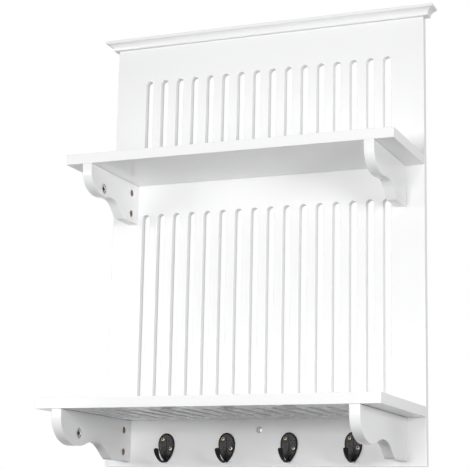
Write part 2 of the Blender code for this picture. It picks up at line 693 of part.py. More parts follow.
def spread_across(mesh):
    """Widen a prong across the hook, more and more towards its tip."""
    for vert in mesh.vertices:
        share = (vert.co.z - PRONG_BELLY_OUT) / (HOOK_REACH - PRONG_BELLY_OUT)
        vert.co.x *= 1 + (PRONG_TIP_SPREAD - 1) * max(share, 0.0) ** 2


def prong_mesh():
    """The prong: from the plate's point it sweeps forward to its belly, then up to its tip."""
    curve = bpy.data.curves.new("prong", "CURVE")
    curve.dimensions = "3D"
    curve.bevel_depth = PRONG_THICKNESS / 2
    curve.bevel_resolution = 2
    curve.use_fill_caps = True
    curve.resolution_u = HOOK_STEPS
    spline = curve.splines.new("BEZIER")
    spline.bezier_points.add(2)
    root = (PRONG_ROOT_RISE, PRONG_THICKNESS / 2)
    belly = (PRONG_BELLY_RISE, PRONG_BELLY_OUT)
    tip = prong_tip()
    fall = (root[0] - belly[0]) * PRONG_ROOT_PULL
    back = (belly[1] - root[1]) * PRONG_ROOT_PULL
    ahead = (tip[1] - belly[1]) * PRONG_SWEEP_PULL
    lift = (tip[0] - belly[0]) * PRONG_TIP_PULL
    knots = ((root, root, (root[0] - fall, root[1]), 1.0),
             (belly, (belly[0], belly[1] - back), (belly[0], belly[1] + ahead), 1.0),
             (tip, (tip[0] - lift, tip[1] - lift * PRONG_TIP_LEAN), tip, PRONG_TIP_SWELL))
    for knot, (point, handle_in, handle_out, swell) in zip(spline.bezier_points, knots):
        knot.co = (0.0, *point)
        knot.handle_left_type = "FREE"
        knot.handle_right_type = "FREE"
        knot.handle_left = (0.0, *handle_in)
        knot.handle_right = (0.0, *handle_out)
        knot.radius = swell
    helper = bpy.data.objects.new("prong", curve)
    CUTTERS.objects.link(helper)
    mesh = evaluated_mesh(helper)
    spread_across(mesh)
    return mesh


def knob_mesh():
    """The rounded end of a prong."""
    shape = bmesh.new()
    bmesh.ops.create_uvsphere(shape, u_segments=SIDES_HIDDEN, v_segments=HOOK_STEPS, radius=knob_radius())
    bmesh.ops.translate(shape, vec=(0.0, *prong_tip()), verts=shape.verts)
    mesh = bpy.data.meshes.new("knob")
    shape.to_mesh(mesh)
    shape.free()
    spread_across(mesh)
    return mesh


def hook_mesh():
    """One whole hook: plate, prong and knob in one casting, bored for its two screws."""
    plate = outline_mesh("hook", [hook_plate_outline()], HOOK_PLATE_THICKNESS / 2, HOOK_STEPS, HOOK_RIM)
    for vert in plate.vertices:
        vert.co.z += HOOK_PLATE_THICKNESS / 2
    body = bpy.data.objects.new("hook", plate)
    CUTTERS.objects.link(body)
    helpers = [(prong_mesh(), "UNION"), (knob_mesh(), "UNION")]
    for offset, height in hook_screw_spots():
        hole = cylinder_mesh("hook_hole", HOOK_SCREW_DIAMETER / 2 + FIT, -HOOK_PLATE_THICKNESS,
                             2 * HOOK_PLATE_THICKNESS, SIDES_HIDDEN)
        for vert in hole.vertices:
            vert.co.x += offset
            vert.co.y += height
        helpers.append((hole, "DIFFERENCE"))
    tools = []
    for mesh, operation in helpers:
        tool = bpy.data.objects.new(mesh.name, mesh)
        CUTTERS.objects.link(tool)
        tools.append(tool)
        join = body.modifiers.new(operation.title(), "BOOLEAN")
        join.operation = operation
        join.solver = "EXACT"
        join.object = tool
    mesh = evaluated_mesh(body)
    for tool in tools:
        bpy.data.objects.remove(tool, do_unlink=True)
    return mesh


def make_hooks(panel):
    """The row of hooks with two round-headed screws each."""
    casting = hook_mesh()
    casting.materials.append(BLACK_IRON)
    face = out_from_panel(FIT)
    shank = HOOK_SCREW_DIAMETER / 2
    head = HOOK_SCREW_HEAD_DIAMETER / 2
    seat = HOOK_PLATE_THICKNESS + FIT
    turns = [math.pi / 2 * i / SLOT_STEPS for i in range(SLOT_STEPS + 1)]
    dome = [(head * math.sin(turn), seat + HOOK_SCREW_HEAD_HEIGHT * math.cos(turn)) for turn in turns]
    profile = dome + [(shank, seat), (shank, -HOOK_SCREW_BITE), (0.0, -HOOK_SCREW_BITE)]
    for number, x in enumerate(row_places(HOOK_COUNT, HOOK_LEFT_MARGIN, HOOK_RIGHT_MARGIN), start=1):
        name = "hook_" + str(number)
        place(name, casting, PARTS, (x, face, HOOK_FOOT), FACING_FRONT)
        for turn, (offset, height) in enumerate(hook_screw_spots(), start=1):
            spot = (x + offset, face, HOOK_FOOT + height)
            place(name + "_screw_" + str(turn), turned_mesh("hook_screw", profile, SIDES_SHOWN), PARTS, spot,
                  FACING_FRONT, BRASS)
            pilot = cylinder_mesh("hook_pilot", shank + FIT, -HOOK_SCREW_BITE - FIT, HOOK_SCREW_BITE,
                                  SIDES_HIDDEN)
            cutter(panel, pilot, spot, FACING_FRONT)


def make_rack():
    """The whole rack, from the panel outwards."""
    panel = make_panel()
    cut_bolt_holes(panel)
    crown = make_crown()
    make_crown_dowels(panel, crown)
    for tier in TIERS:
        shelf = make_shelf(tier)
        cut_cam_bolt_holes(shelf, tier)
        make_shelf_screws(panel, shelf, tier)
        if tier is LOWER:
            cut_plate_slots(shelf, tier)
        for word, side in SIDES_OF_RACK:
            make_bracket(tier, word, side)
    make_hooks(panel)
    cut_everything()


make_rack()
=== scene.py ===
# %% [markdown]
# # Dressing a white plate rack
#
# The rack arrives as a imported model: every board, hook and fitting at its true size, plain and faceted.
# This lesson leaves all of it where it is and gives each piece the surface of the real one. Painted boards
# get eased edges and sprayed paint, the hooks become castings, and the fittings get their chamfers and
# driver recesses. Lengths are in metres, +Z is up, the wall is the plane Y = 0 and the front faces -Y.

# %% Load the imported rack
import json
import math

import bmesh
import bpy
from mathutils import Matrix, Vector

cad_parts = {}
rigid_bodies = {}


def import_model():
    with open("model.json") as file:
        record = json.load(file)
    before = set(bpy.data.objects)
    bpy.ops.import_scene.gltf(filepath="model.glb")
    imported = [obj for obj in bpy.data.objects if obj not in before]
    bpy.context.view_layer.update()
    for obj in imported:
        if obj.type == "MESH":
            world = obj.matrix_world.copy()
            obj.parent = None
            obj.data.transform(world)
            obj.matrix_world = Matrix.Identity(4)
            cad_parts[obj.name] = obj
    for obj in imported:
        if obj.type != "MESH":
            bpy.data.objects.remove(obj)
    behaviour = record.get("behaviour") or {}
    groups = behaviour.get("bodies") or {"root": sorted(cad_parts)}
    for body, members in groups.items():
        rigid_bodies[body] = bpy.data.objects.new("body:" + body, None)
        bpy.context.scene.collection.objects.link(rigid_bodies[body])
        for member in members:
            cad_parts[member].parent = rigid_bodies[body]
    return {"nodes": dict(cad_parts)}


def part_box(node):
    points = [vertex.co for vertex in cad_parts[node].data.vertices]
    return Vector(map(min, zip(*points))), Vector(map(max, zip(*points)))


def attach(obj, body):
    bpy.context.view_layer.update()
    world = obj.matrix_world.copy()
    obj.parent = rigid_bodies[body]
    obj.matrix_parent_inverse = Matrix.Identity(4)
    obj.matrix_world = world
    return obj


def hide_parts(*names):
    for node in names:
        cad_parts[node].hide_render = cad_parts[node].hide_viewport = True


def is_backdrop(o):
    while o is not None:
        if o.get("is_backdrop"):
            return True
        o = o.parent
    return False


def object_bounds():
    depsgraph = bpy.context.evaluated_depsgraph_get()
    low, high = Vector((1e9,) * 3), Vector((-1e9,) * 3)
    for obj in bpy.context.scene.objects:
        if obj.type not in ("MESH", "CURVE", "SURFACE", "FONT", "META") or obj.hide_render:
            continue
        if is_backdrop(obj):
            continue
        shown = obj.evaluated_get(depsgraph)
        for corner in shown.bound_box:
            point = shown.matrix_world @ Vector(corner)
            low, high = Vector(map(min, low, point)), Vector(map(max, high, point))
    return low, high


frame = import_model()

CAD_LOW, CAD_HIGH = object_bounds()
print("packed rack:", len(frame["nodes"]), "nodes,", [round(v, 4) for v in CAD_HIGH - CAD_LOW], "m")

# %% [markdown]
# ## The camera
#
# The photograph was taken from the right and from a little below, with a long lens. A camera can be aimed by
# hand until the picture fits, but the edges of a rectangular panel give it outright: where they meet tells
# the pan, the tilt and the roll, and the panel's true width tells the distance. So the place and those three
# angles are simply written down, and the rack then sits in the frame as it does in the photograph.

# %% Aim the camera
CAMERA_PLACE = Vector((0.7884, -2.0285, -0.7294))
PAN = math.radians(22.43)
TILT = math.radians(11.47)
ROLL = math.radians(1.10)
FOCAL_SHARE = 3.1416


def add_object(name, data):
    """A new object in the scene."""
    made = bpy.data.objects.new(name, data)
    bpy.context.scene.collection.objects.link(made)
    return made


camera_data = bpy.data.cameras.new("photo_camera")
camera_data.lens = FOCAL_SHARE * camera_data.sensor_width
camera = add_object("photo_camera", camera_data)
pan = Matrix.Rotation(PAN, 4, "Z")
tilt = Matrix.Rotation(math.pi / 2 + TILT, 4, "X")
roll = Matrix.Rotation(ROLL, 4, "Z")
camera.matrix_world = Matrix.Translation(CAMERA_PLACE) @ (pan @ tilt @ roll)
bpy.context.scene.camera = camera
print("camera:", round(camera_data.lens, 1), "mm lens,", round((CAMERA_PLACE - CAD_LOW).length, 2), "m away")

# %% [markdown]
# ## Studio light
#
# White paint shows its form only by how light falls off, so the light matters as much as the paint. In the
# photograph hardly a shadow shows on the panel, faces that turn right are almost as light as those in front,
# and the foot under the lower shelf is grey. Three soft lamps and a soft fill give that. The lamps stand on
# the right, on the left and in front, between the heights of the shelves, so that they reach under the upper
# shelf but not under the lower one. The fill comes from above and behind: it lights the tops, the back and
# the sides of the slots, which the lamps miss. To the camera, and in the gloss of paint and metal, the room
# is white. So is the pale floor, which lies far below, as the rack hangs on a wall.

# %% Lamps
LAMP_AIM = Vector((0.0, -0.05, -0.30))
LAMP_SPREAD = math.radians(140)


def soft_lamp(name, place, size, watts):
    """A square area lamp that points at the rack."""
    data = bpy.data.lights.new(name, "AREA")
    data.size = size
    data.energy = watts
    data.spread = LAMP_SPREAD
    lamp = add_object(name, data)
    lamp.location = place
    lamp.rotation_euler = (LAMP_AIM - Vector(place)).to_track_quat("-Z", "Y").to_euler()
    print("lamp:", name, watts, "W,", round((LAMP_AIM - Vector(place)).length, 2), "m away")


soft_lamp("right_lamp", (1.7, -1.2, -0.42), 0.6, 11.2)
soft_lamp("left_lamp", (-1.3, -1.6, -0.22), 0.6, 5.9)
soft_lamp("front_lamp", (0.0, -2.9, -0.52), 0.5, 19.8)

# %% Surroundings
FILL_ABOVE = 0.50
FILL_BEHIND = 0.50
FILL_TINT = (0.98, 0.99, 1.0, 1.0)
WHITE = (1.0, 1.0, 1.0, 1.0)


def sees_room(tree):
    """1 for rays from the camera, from gloss or through glass, and 0 for rays that gather soft light."""
    rays = tree.nodes.new("ShaderNodeLightPath")
    seen = rays.outputs["Is Camera Ray"]
    for kind in ("Is Glossy Ray", "Is Transmission Ray"):
        either = tree.nodes.new("ShaderNodeMath")
        either.operation = "MAXIMUM"
        tree.links.new(seen, either.inputs[0])
        tree.links.new(rays.outputs[kind], either.inputs[1])
        seen = either.outputs[0]
    return seen


def white_room(tree, soft, white, output):
    """Show the plain white to the rays that see the room, and the soft shader to all others."""
    white.inputs["Color"].default_value = WHITE
    choose = tree.nodes.new("ShaderNodeMixShader")
    tree.links.new(sees_room(tree), choose.inputs[0])
    tree.links.new(soft.outputs[0], choose.inputs[1])
    tree.links.new(white.outputs[0], choose.inputs[2])
    tree.links.new(choose.outputs[0], output.inputs["Surface"])


world = bpy.data.worlds.new("studio")
bpy.context.scene.world = world
world.use_nodes = True
tree = world.node_tree
tree.nodes.clear()
where = tree.nodes.new("ShaderNodeTexCoord")
positive = tree.nodes.new("ShaderNodeVectorMath")
positive.operation = "MAXIMUM"
positive.inputs[1].default_value = (0.0, 0.0, 0.0)
tree.links.new(where.outputs["Generated"], positive.inputs[0])
level = tree.nodes.new("ShaderNodeVectorMath")
level.operation = "DOT_PRODUCT"
level.inputs[1].default_value = (0.0, FILL_BEHIND, FILL_ABOVE)
tree.links.new(positive.outputs["Vector"], level.inputs[0])
fill = tree.nodes.new("ShaderNodeBackground")
fill.inputs["Color"].default_value = FILL_TINT
tree.links.new(level.outputs["Value"], fill.inputs["Strength"])
white_room(tree, fill, tree.nodes.new("ShaderNodeBackground"), tree.nodes.new("ShaderNodeOutputWorld"))
bpy.context.scene.view_settings.view_transform = "Standard"
print("fill light:", FILL_ABOVE, "from above and", FILL_BEHIND, "from behind")

# %% Floor
HANGING_HEIGHT = 1.50
FLOOR_HALF_SIDE = 0.60
FLOOR_COLOUR = (0.80, 0.80, 0.79, 1.0)
FLOOR_ROUGHNESS = 0.9


def mesh_of(shape, name):
    """The mesh of a shape that was being built. The shape goes."""
    mesh = bpy.data.meshes.new(name)
    shape.to_mesh(mesh)
    shape.free()
    return mesh


shape = bmesh.new()
bmesh.ops.create_grid(shape, x_segments=1, y_segments=1, size=FLOOR_HALF_SIDE)
floor_mesh = mesh_of(shape, "floor")
floor = add_object("floor", floor_mesh)
floor.location.z = CAD_LOW.z - HANGING_HEIGHT
floor_paint = bpy.data.materials.new("pale_floor")
floor_paint.use_nodes = True
tree = floor_paint.node_tree
shader = tree.nodes["Principled BSDF"]
shader.inputs["Base Color"].default_value = FLOOR_COLOUR
shader.inputs["Roughness"].default_value = FLOOR_ROUGHNESS
white_room(tree, shader, tree.nodes.new("ShaderNodeEmission"), tree.nodes["Material Output"])
floor_mesh.materials.append(floor_paint)
floor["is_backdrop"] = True
print("floor:", HANGING_HEIGHT, "m under the rack, white to the camera like the room")

# %% [markdown]
# ## Sprayed white paint
#
# The boards are fibreboard, sanded, primed and sprayed. One flat white would look like plaster, because real
# spray paint has orange peel: shallow dimples about a millimetre across that break up the gloss. The colour
# hardly changes over a board, so the paint's life is in its roughness and its bump. Noise in the piece's own
# coordinates gives both at true scale, with no seams where boards meet.

# %% Helpers for finishes


def start_finish(name, metallic=0.0):
    """A new node material: returns it with its node tree and its shader."""
    finish = bpy.data.materials.new(name)
    finish.use_nodes = True
    tree = finish.node_tree
    shader = tree.nodes["Principled BSDF"]
    shader.inputs["Metallic"].default_value = metallic
    place = tree.nodes.new("ShaderNodeTexCoord")
    place.name = "place"
    return finish, tree, shader


def noise(tree, scale, detail=2.0, stretch=(1.0, 1.0, 1.0)):
    """Noise in the piece's own coordinates, with features about one over scale metres across.

    Detail is how many finer layers it gets, and a stretch under 1 draws it out along that axis.
    """
    made = tree.nodes.new("ShaderNodeTexNoise")
    made.inputs["Scale"].default_value = scale
    made.inputs["Detail"].default_value = detail
    mapping = tree.nodes.new("ShaderNodeMapping")
    mapping.inputs["Scale"].default_value = stretch
    tree.links.new(tree.nodes["place"].outputs["Object"], mapping.inputs["Vector"])
    tree.links.new(mapping.outputs["Vector"], made.inputs["Vector"])
    return made.outputs["Fac"]


def shades(tree, value, *stops):
    """A colour ramp over a value, between two stops. Each stop is a position and a colour."""
    ramp = tree.nodes.new("ShaderNodeValToRGB")
    for element, (position, colour) in zip(ramp.color_ramp.elements, stops):
        element.position = position
        element.color = (*colour, 1.0)
    tree.links.new(value, ramp.inputs["Fac"])
    return ramp.outputs["Color"]


def spread(tree, value, low, high):
    """A value from 0 to 1 spread from low to high."""
    made = tree.nodes.new("ShaderNodeMapRange")
    made.inputs["To Min"].default_value = low
    made.inputs["To Max"].default_value = high
    tree.links.new(value, made.inputs["Value"])
    return made.outputs["Result"]


def bump(tree, value, height, strength):
    """A bump of a height in metres, felt at a strength from 0 to 1."""
    made = tree.nodes.new("ShaderNodeBump")
    made.inputs["Strength"].default_value = strength
    made.inputs["Distance"].default_value = height
    tree.links.new(value, made.inputs["Height"])
    return made.outputs["Normal"]


def coat(tree, shader, colour, roughness, normal):
    """Lay a colour, a roughness and a bump on a shader."""
    tree.links.new(colour, shader.inputs["Base Color"])
    tree.links.new(roughness, shader.inputs["Roughness"])
    tree.links.new(normal, shader.inputs["Normal"])


print("finishes are built from noise, colour ramps and bump")

# %% The paint
PAINT_SHADES = (0.30, (0.924, 0.925, 0.929)), (0.62, (0.930, 0.931, 0.934))
PAINT_ROUGHNESS = (0.16, 0.18)
MOTTLE_NOISE = (9.0, 4.0)
GLOSS_NOISE = (34.0, 3.0)
PEEL_SCALE = 700.0
PEEL_DETAIL = 1.0
PEEL_BUMP = (0.00003, 0.05)

paint, tree, shader = start_finish("sprayed_white_paint")
mottle = shades(tree, noise(tree, *MOTTLE_NOISE), *PAINT_SHADES)
gloss = spread(tree, noise(tree, *GLOSS_NOISE), *PAINT_ROUGHNESS)
peel = bump(tree, noise(tree, PEEL_SCALE, PEEL_DETAIL), *PEEL_BUMP)
coat(tree, shader, mottle, gloss, peel)
print("paint:", len(tree.nodes), "nodes, dimples about", round(1000 / PEEL_SCALE, 1), "mm across")

# %% [markdown]
# ## Bare fibreboard
#
# Holes that are drilled after spraying show the board itself: pressed wood fibre, brown and quite rough. It
# only ever shows inside a hole a few millimetres across, so fine noise in two browns and a strong bump do it.

# %% Fibreboard
FIBRE_SHADES = (0.34, (0.30, 0.20, 0.13)), (0.68, (0.56, 0.42, 0.30))
FIBRE_ROUGHNESS = (0.80, 0.95)
FIBRE_NOISE = (1900.0, 4.0, (1.0, 1.0, 0.35))
FIBRE_BUMP = (0.0003, 0.5)

fibreboard, tree, shader = start_finish("bare_fibreboard")
fibres = noise(tree, *FIBRE_NOISE)
browns = shades(tree, fibres, *FIBRE_SHADES)
coat(tree, shader, browns, spread(tree, fibres, *FIBRE_ROUGHNESS), bump(tree, fibres, *FIBRE_BUMP))
print("fibreboard:", len(tree.nodes), "nodes")

# %% [markdown]
# ## Metals and beech
#
# Four metals and one wood are left. A metal's colour is its reflection, so each differs in how rough it is
# and what breaks that up: cast zinc is grainy, plated steel is drawn and polished, and brass is turned. One
# function takes those few facts. Zinc and brass also come nearly black, as painted shade for driver recesses,
# which little light leaves. The hooks are iron under black powder paint with a pebbled skin, and the sunk
# field of a hook is painted paler than its rim, as a painted sheen, so iron gets a cell of its own. So does
# beech, because wood has a direction.

# %% Metal finishes
METAL_STOPS = (0.32, 0.68)
METAL_DETAIL = 3.0
METAL_BUMP = 0.35
PATCH_GRAINS = 5
DULL = (0.45, 0.60)


def metal(name, dark, light, rough, grain, relief):
    """A metal: two tones and a bump over noise of one grain, and a roughness range over wider patches."""
    finish, tree, shader = start_finish(name, 1.0)
    skin = noise(tree, grain, METAL_DETAIL)
    tones = shades(tree, skin, *zip(METAL_STOPS, (dark, light)))
    patches = spread(tree, noise(tree, grain / PATCH_GRAINS), *rough)
    coat(tree, shader, tones, patches, bump(tree, skin, relief, METAL_BUMP))
    print(name + ":", round(1000 / grain, 2), "mm grain, roughness", rough)
    return finish


cast_zinc = metal("cast_zinc", (0.50, 0.50, 0.49), (0.70, 0.70, 0.69), (0.30, 0.46), 1500.0, 0.00010)
# The next nearly black zinc and the last nearly black brass are painted shade for driver recesses.
painted_shade_zinc = metal("painted_shade_zinc", (0.04, 0.04, 0.04), (0.10, 0.10, 0.10), DULL, 1400.0, 0.00005)
bright_steel = metal("plated_steel", (0.52, 0.53, 0.55), (0.68, 0.69, 0.70), (0.20, 0.36), 900.0, 0.00003)
brass = metal("turned_brass", (0.84, 0.70, 0.48), (0.95, 0.84, 0.64), (0.20, 0.34), 1100.0, 0.00003)
painted_shade_brass = metal("recess_shade_brass", (0.02, 0.015, 0.010), (0.06, 0.045, 0.028), DULL, 1400.0, 0.00005)

# %% Black iron
IRON_SHADES = (0.36, (0.004, 0.004, 0.004)), (0.66, (0.014, 0.014, 0.015))
# The paler colour of the sunk field is a painted sheen.
SHEEN_SHADES = (0.38, (0.024, 0.022, 0.024)), (0.64, (0.135, 0.128, 0.133))
IRON_ROUGHNESS = (0.34, 0.52)
IRON_GLOSS = 0.12
PEBBLE_SCALE = 850.0
PEBBLE_BUMP = (0.0004, 0.45)
PATCH_SCALE = 240.0

black_iron, tree, shader = start_finish("pebbled_black_iron")
pebbles = noise(tree, PEBBLE_SCALE)
# A mask from the hook mesh mixes the dark rim colour with a paler colour on the sunk field: a painted sheen.
painted_sheen = tree.nodes.new("ShaderNodeAttribute")
painted_sheen.attribute_name = "painted_sheen"
iron = tree.nodes.new("ShaderNodeMixRGB")
tree.links.new(painted_sheen.outputs["Fac"], iron.inputs["Fac"])
tree.links.new(shades(tree, pebbles, *IRON_SHADES), iron.inputs["Color1"])
tree.links.new(shades(tree, pebbles, *SHEEN_SHADES), iron.inputs["Color2"])
patches = spread(tree, noise(tree, PATCH_SCALE), *IRON_ROUGHNESS)
coat(tree, shader, iron.outputs["Color"], patches, bump(tree, pebbles, *PEBBLE_BUMP))
shader.inputs["Specular IOR Level"].default_value = IRON_GLOSS
print("black iron: pebbles about", round(1000 / PEBBLE_SCALE, 1), "mm across")

# %% Beech
BEECH_SHADES = (0.30, (0.42, 0.27, 0.15)), (0.70, (0.66, 0.48, 0.31))
BEECH_ROUGHNESS = (0.50, 0.72)
GRAIN_NOISE = (900.0, 3.0, (1.0, 1.0, 0.08))
GRAIN_BUMP = (0.0002, 0.4)
FLECK_NOISE = (2600.0, 1.0, (1.0, 0.3, 0.2))

beech, tree, shader = start_finish("turned_beech")
grain = noise(tree, *GRAIN_NOISE)
flecks = spread(tree, noise(tree, *FLECK_NOISE), *BEECH_ROUGHNESS)
coat(tree, shader, shades(tree, grain, *BEECH_SHADES), flecks, bump(tree, grain, *GRAIN_BUMP))
print("beech:", len(tree.nodes), "nodes, grain along Z")

# %% [markdown]
# ## Boards cut to an outline
#
# Panel, shelves and brackets are all boards: a flat outline, a thickness, and edges that sanding and paint
# have rounded by less than a millimetre. A box with a Bevel modifier would do for a plain shelf, but every
# slot needs the same soft edge as the outside. A 2D curve makes both at once: its fill leaves inner loops
# open, and its own bevel rounds every edge. The offset draws the outline in by as much as the bevel adds, so
# the board keeps its size. The outside runs counter-clockwise and the loops clockwise, or the bevel grows
# the wrong way.

# %% Outlines
EASE = 0.0008
CORNER = 0.0014
QUARTER = 0.5523


def rounded_rectangle(low, high, radius):
    """A rectangle with round corners, counter-clockwise, as (point, handle in, handle out) knots."""
    ways = [Vector(way) for way in ((1, 0), (0, 1), (-1, 0), (0, -1))]
    corners = [Vector(spot) for spot in ((high[0], low[1]), high, (low[0], high[1]), low)]
    knots = []
    for corner, way, next_way in zip(corners, ways, ways[1:] + ways[:1]):
        start = corner - way * radius
        end = corner + next_way * radius
        knots.append((start, None, start + way * radius * QUARTER))
        knots.append((end, end - next_way * radius * QUARTER, None))
    return knots


def slot_loop(x, low, high, width):
    """A slot with round ends, clockwise, from its lowest to its highest point."""
    half = width / 2
    reach = QUARTER * half
    bottom = low + half
    top = high - half
    return [
        ((x - half, bottom), (x - half, bottom - reach), None),
        ((x - half, top), None, (x - half, top + reach)),
        ((x, high), (x - reach, high), (x + reach, high)),
        ((x + half, top), (x + half, top + reach), None),
        ((x + half, bottom), None, (x + half, bottom - reach)),
        ((x, low), (x + reach, low), (x - reach, low)),
    ]


print("edges eased by", round(1000 * EASE, 2), "mm")

# %% From outline to board
WELD = 0.000002
CREASE = math.radians(35)
CURVE_STEPS = 12
EDGE_STEPS = 3
SORTING_WAY = Vector((1.0, 1.37, 1.83))


def weld(shape, mesh):
    """Put a shape into a mesh, welded and smooth between its true edges. The shape goes."""
    bmesh.ops.remove_doubles(shape, verts=shape.verts, dist=WELD)
    bmesh.ops.recalc_face_normals(shape, faces=shape.faces)
    shape.to_mesh(mesh)
    shape.free()
    mesh.shade_smooth()
    mesh.set_sharp_from_angle(angle=CREASE)
    return mesh


def settle(helper):
    """The finished mesh of an object that was only there to be worked on. The object goes.

    Points and faces are sorted by place before they are welded, so that every run gives the same mesh.
    """
    graph = bpy.context.evaluated_depsgraph_get()
    mesh = bpy.data.meshes.new_from_object(helper.evaluated_get(graph))
    bpy.data.objects.remove(helper, do_unlink=True)
    shape = bmesh.new()
    shape.from_mesh(mesh)
    shape.verts.sort(key=lambda vert: vert.co.dot(SORTING_WAY))
    shape.faces.sort(key=lambda face: face.calc_center_median().dot(SORTING_WAY))
    return weld(shape, mesh)


def lay_spline(curve, knots):
    """A Bezier spline through (point, handle in, handle out) knots. A side without a handle is straight."""
    spline = curve.splines.new("BEZIER")
    spline.bezier_points.add(len(knots) - 1)
    for knot, (point, handle_in, handle_out) in zip(spline.bezier_points, knots):
        knot.co = Vector(point).to_3d()
        knot.handle_left_type = "FREE" if handle_in else "VECTOR"
        knot.handle_right_type = "FREE" if handle_out else "VECTOR"
        if handle_in:
            knot.handle_left = Vector(handle_in).to_3d()
        if handle_out:
            knot.handle_right = Vector(handle_out).to_3d()
    return spline


def cut_board(name, outlines, thickness, turn, ease=EASE):
    """A board cut to its outlines, with every edge eased, turned into place."""
    curve = bpy.data.curves.new(name, "CURVE")
    curve.dimensions = "2D"
    curve.fill_mode = "BOTH"
    curve.extrude = thickness / 2 - ease
    curve.bevel_depth = ease
    curve.bevel_resolution = EDGE_STEPS
    curve.offset = -ease
    curve.resolution_u = CURVE_STEPS
    for outline in outlines:
        lay_spline(curve, outline).use_cyclic_u = True
    mesh = settle(add_object(name, curve))
    mesh.transform(turn)
    return mesh


print("a curve gets", CURVE_STEPS, "steps between knots")

# %% [markdown]
# ## Drilling
#
# Screws, bolts and cams all sit in drilled holes. Each drill here is a closed shape of its own, and one
# Boolean takes all of a board's drills out together. The Boolean can hand the drill's material to the faces
# it cuts, so bare fibreboard shows in the holes and paint stays outside. Afterwards the drills are deleted
# and the board is an ordinary mesh. A Weighted Normal modifier then keeps its broad faces flat in the light.

# %% Drills
DRILL_SIDES = 48


def laid(place, axis):
    """The turn that takes +Z to an axis, and the origin to a place."""
    return Matrix.Translation(place) @ Vector(axis).to_track_quat("Z", "Y").to_matrix().to_4x4()


def rod(start, end, radius, sides=DRILL_SIDES):
    """A round drill from one point to another."""
    start = Vector(start)
    end = Vector(end)
    shape = bmesh.new()
    bmesh.ops.create_cone(shape, cap_ends=True, segments=sides, radius1=radius, radius2=radius,
                          depth=(end - start).length)
    bmesh.ops.transform(shape, matrix=laid((start + end) / 2, end - start), verts=shape.verts)
    return mesh_of(shape, "drill")


def block(size, turn):
    """A box for cutting slots and driver recesses, turned into place."""
    shape = bmesh.new()
    bmesh.ops.create_cube(shape, size=1.0)
    bmesh.ops.scale(shape, vec=size, verts=shape.verts)
    mesh = mesh_of(shape, "cutter")
    mesh.transform(turn)
    return mesh


def cut_away(mesh, tools, finish):
    """The mesh with the tools taken out of it. The cut faces get the finish."""
    body = add_object("body", mesh)
    drawer = bpy.data.collections.new("tools")
    bpy.context.scene.collection.children.link(drawer)
    for tool in tools:
        tool.materials.clear()
        tool.materials.append(finish)
        drawer.objects.link(bpy.data.objects.new("tool", tool))
    cut = body.modifiers.new("Cut", "BOOLEAN")
    cut.operation = "DIFFERENCE"
    cut.operand_type = "COLLECTION"
    cut.collection = drawer
    cut.material_mode = "TRANSFER"
    made = settle(body)
    for tool in list(drawer.objects):
        bpy.data.objects.remove(tool, do_unlink=True)
    bpy.data.collections.remove(drawer)
    return made


def dress(name, mesh, slot, *replaced, place=(0.0, 0.0, 0.0)):
    """A finished piece on the rack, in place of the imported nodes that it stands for."""
    piece = add_object(name, mesh)
    piece.location = place
    flat = piece.modifiers.new("Flat faces", "WEIGHTED_NORMAL")
    flat.keep_sharp = True
    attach(piece, "root")
    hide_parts(*replaced)


print("drills have", DRILL_SIDES, "sides")

# %% [markdown]
# ## Turned shapes
#
# Screws, bolts, nuts, cams and dowels are all round about an axis, so each is a profile spun about Z, as on a
# lathe, and then laid along its own axis. Blender can spin an edge too, but it makes the faces in another
# order each time, and then the drilled boards come out a little different. So the rows are joined one by one
# here. A thread would really be a helix, but it is hidden in the wood and rings look the same there, so the
# profile just zigzags.

# %% Lathe
LATHE_STEPS = 40


def turned(profile, turn, finish, steps=LATHE_STEPS):
    """A profile of (radius, height) points from the top down, spun about Z and turned into place."""
    shape = bmesh.new()
    rows = []
    for step in range(steps):
        spin = Matrix.Rotation(2 * math.pi * step / steps, 3, "Z")
        rows.append([shape.verts.new(spin @ Vector((radius, 0.0, height))) for radius, height in profile])
    for row, next_row in zip(rows, rows[1:] + rows[:1]):
        for i in range(len(profile) - 1):
            shape.faces.new((row[i], row[i + 1], next_row[i + 1], next_row[i]))
    mesh = weld(shape, bpy.data.meshes.new("turned"))
    mesh.materials.append(finish)
    mesh.transform(turn)
    return mesh


def thread(radius, depth, top, bottom, pitch):
    """The zigzag of a thread, from the top down."""
    count = round((top - bottom) / pitch)
    step = (top - bottom) / count
    points = []
    for i in range(count):
        points.append((radius - depth, top - step * i))
        points.append((radius, top - step * (i + 0.5)))
    return points + [(radius - depth, bottom)]


def measure(node):
    """The low corner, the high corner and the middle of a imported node."""
    low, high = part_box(node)
    return low, high, (low + high) / 2


print("the lathe makes", LATHE_STEPS, "steps a turn")

# %% [markdown]
# ## Back panel
#
# The panel carries everything: two rows of sixteen slots for show and for plate rims, holes behind for bolts
# and screws, and two keyholes to hang it by. Its size and the heights of its slots come from the packed
# panel and shelves. Slots go into the outline, and all other holes are drilled.

# %% Panel outline
SLOT_COUNT = 16
SLOT_WIDTH = 0.0124
SLOT_SIDE_MARGIN = 0.050
SLOT_FOOT = 0.012
UPPER_SLOT_HEADROOM = 0.0554
LOWER_SLOT_HEADROOM = 0.0464
UPRIGHT = Matrix.Rotation(math.pi / 2, 4, "X")

panel_low, panel_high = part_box("back_panel")
upper_low, upper_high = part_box("upper_shelf")
lower_low, lower_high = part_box("lower_shelf")
panel_thickness = panel_high.y - panel_low.y
first_slot = panel_low.x + SLOT_SIDE_MARGIN + SLOT_WIDTH / 2
slot_pitch = -2 * first_slot / (SLOT_COUNT - 1)
slot_xs = [first_slot + slot_pitch * i for i in range(SLOT_COUNT)]
slot_rows = ((upper_high.z + SLOT_FOOT, panel_high.z - UPPER_SLOT_HEADROOM),
             (lower_high.z + SLOT_FOOT, upper_low.z - LOWER_SLOT_HEADROOM))

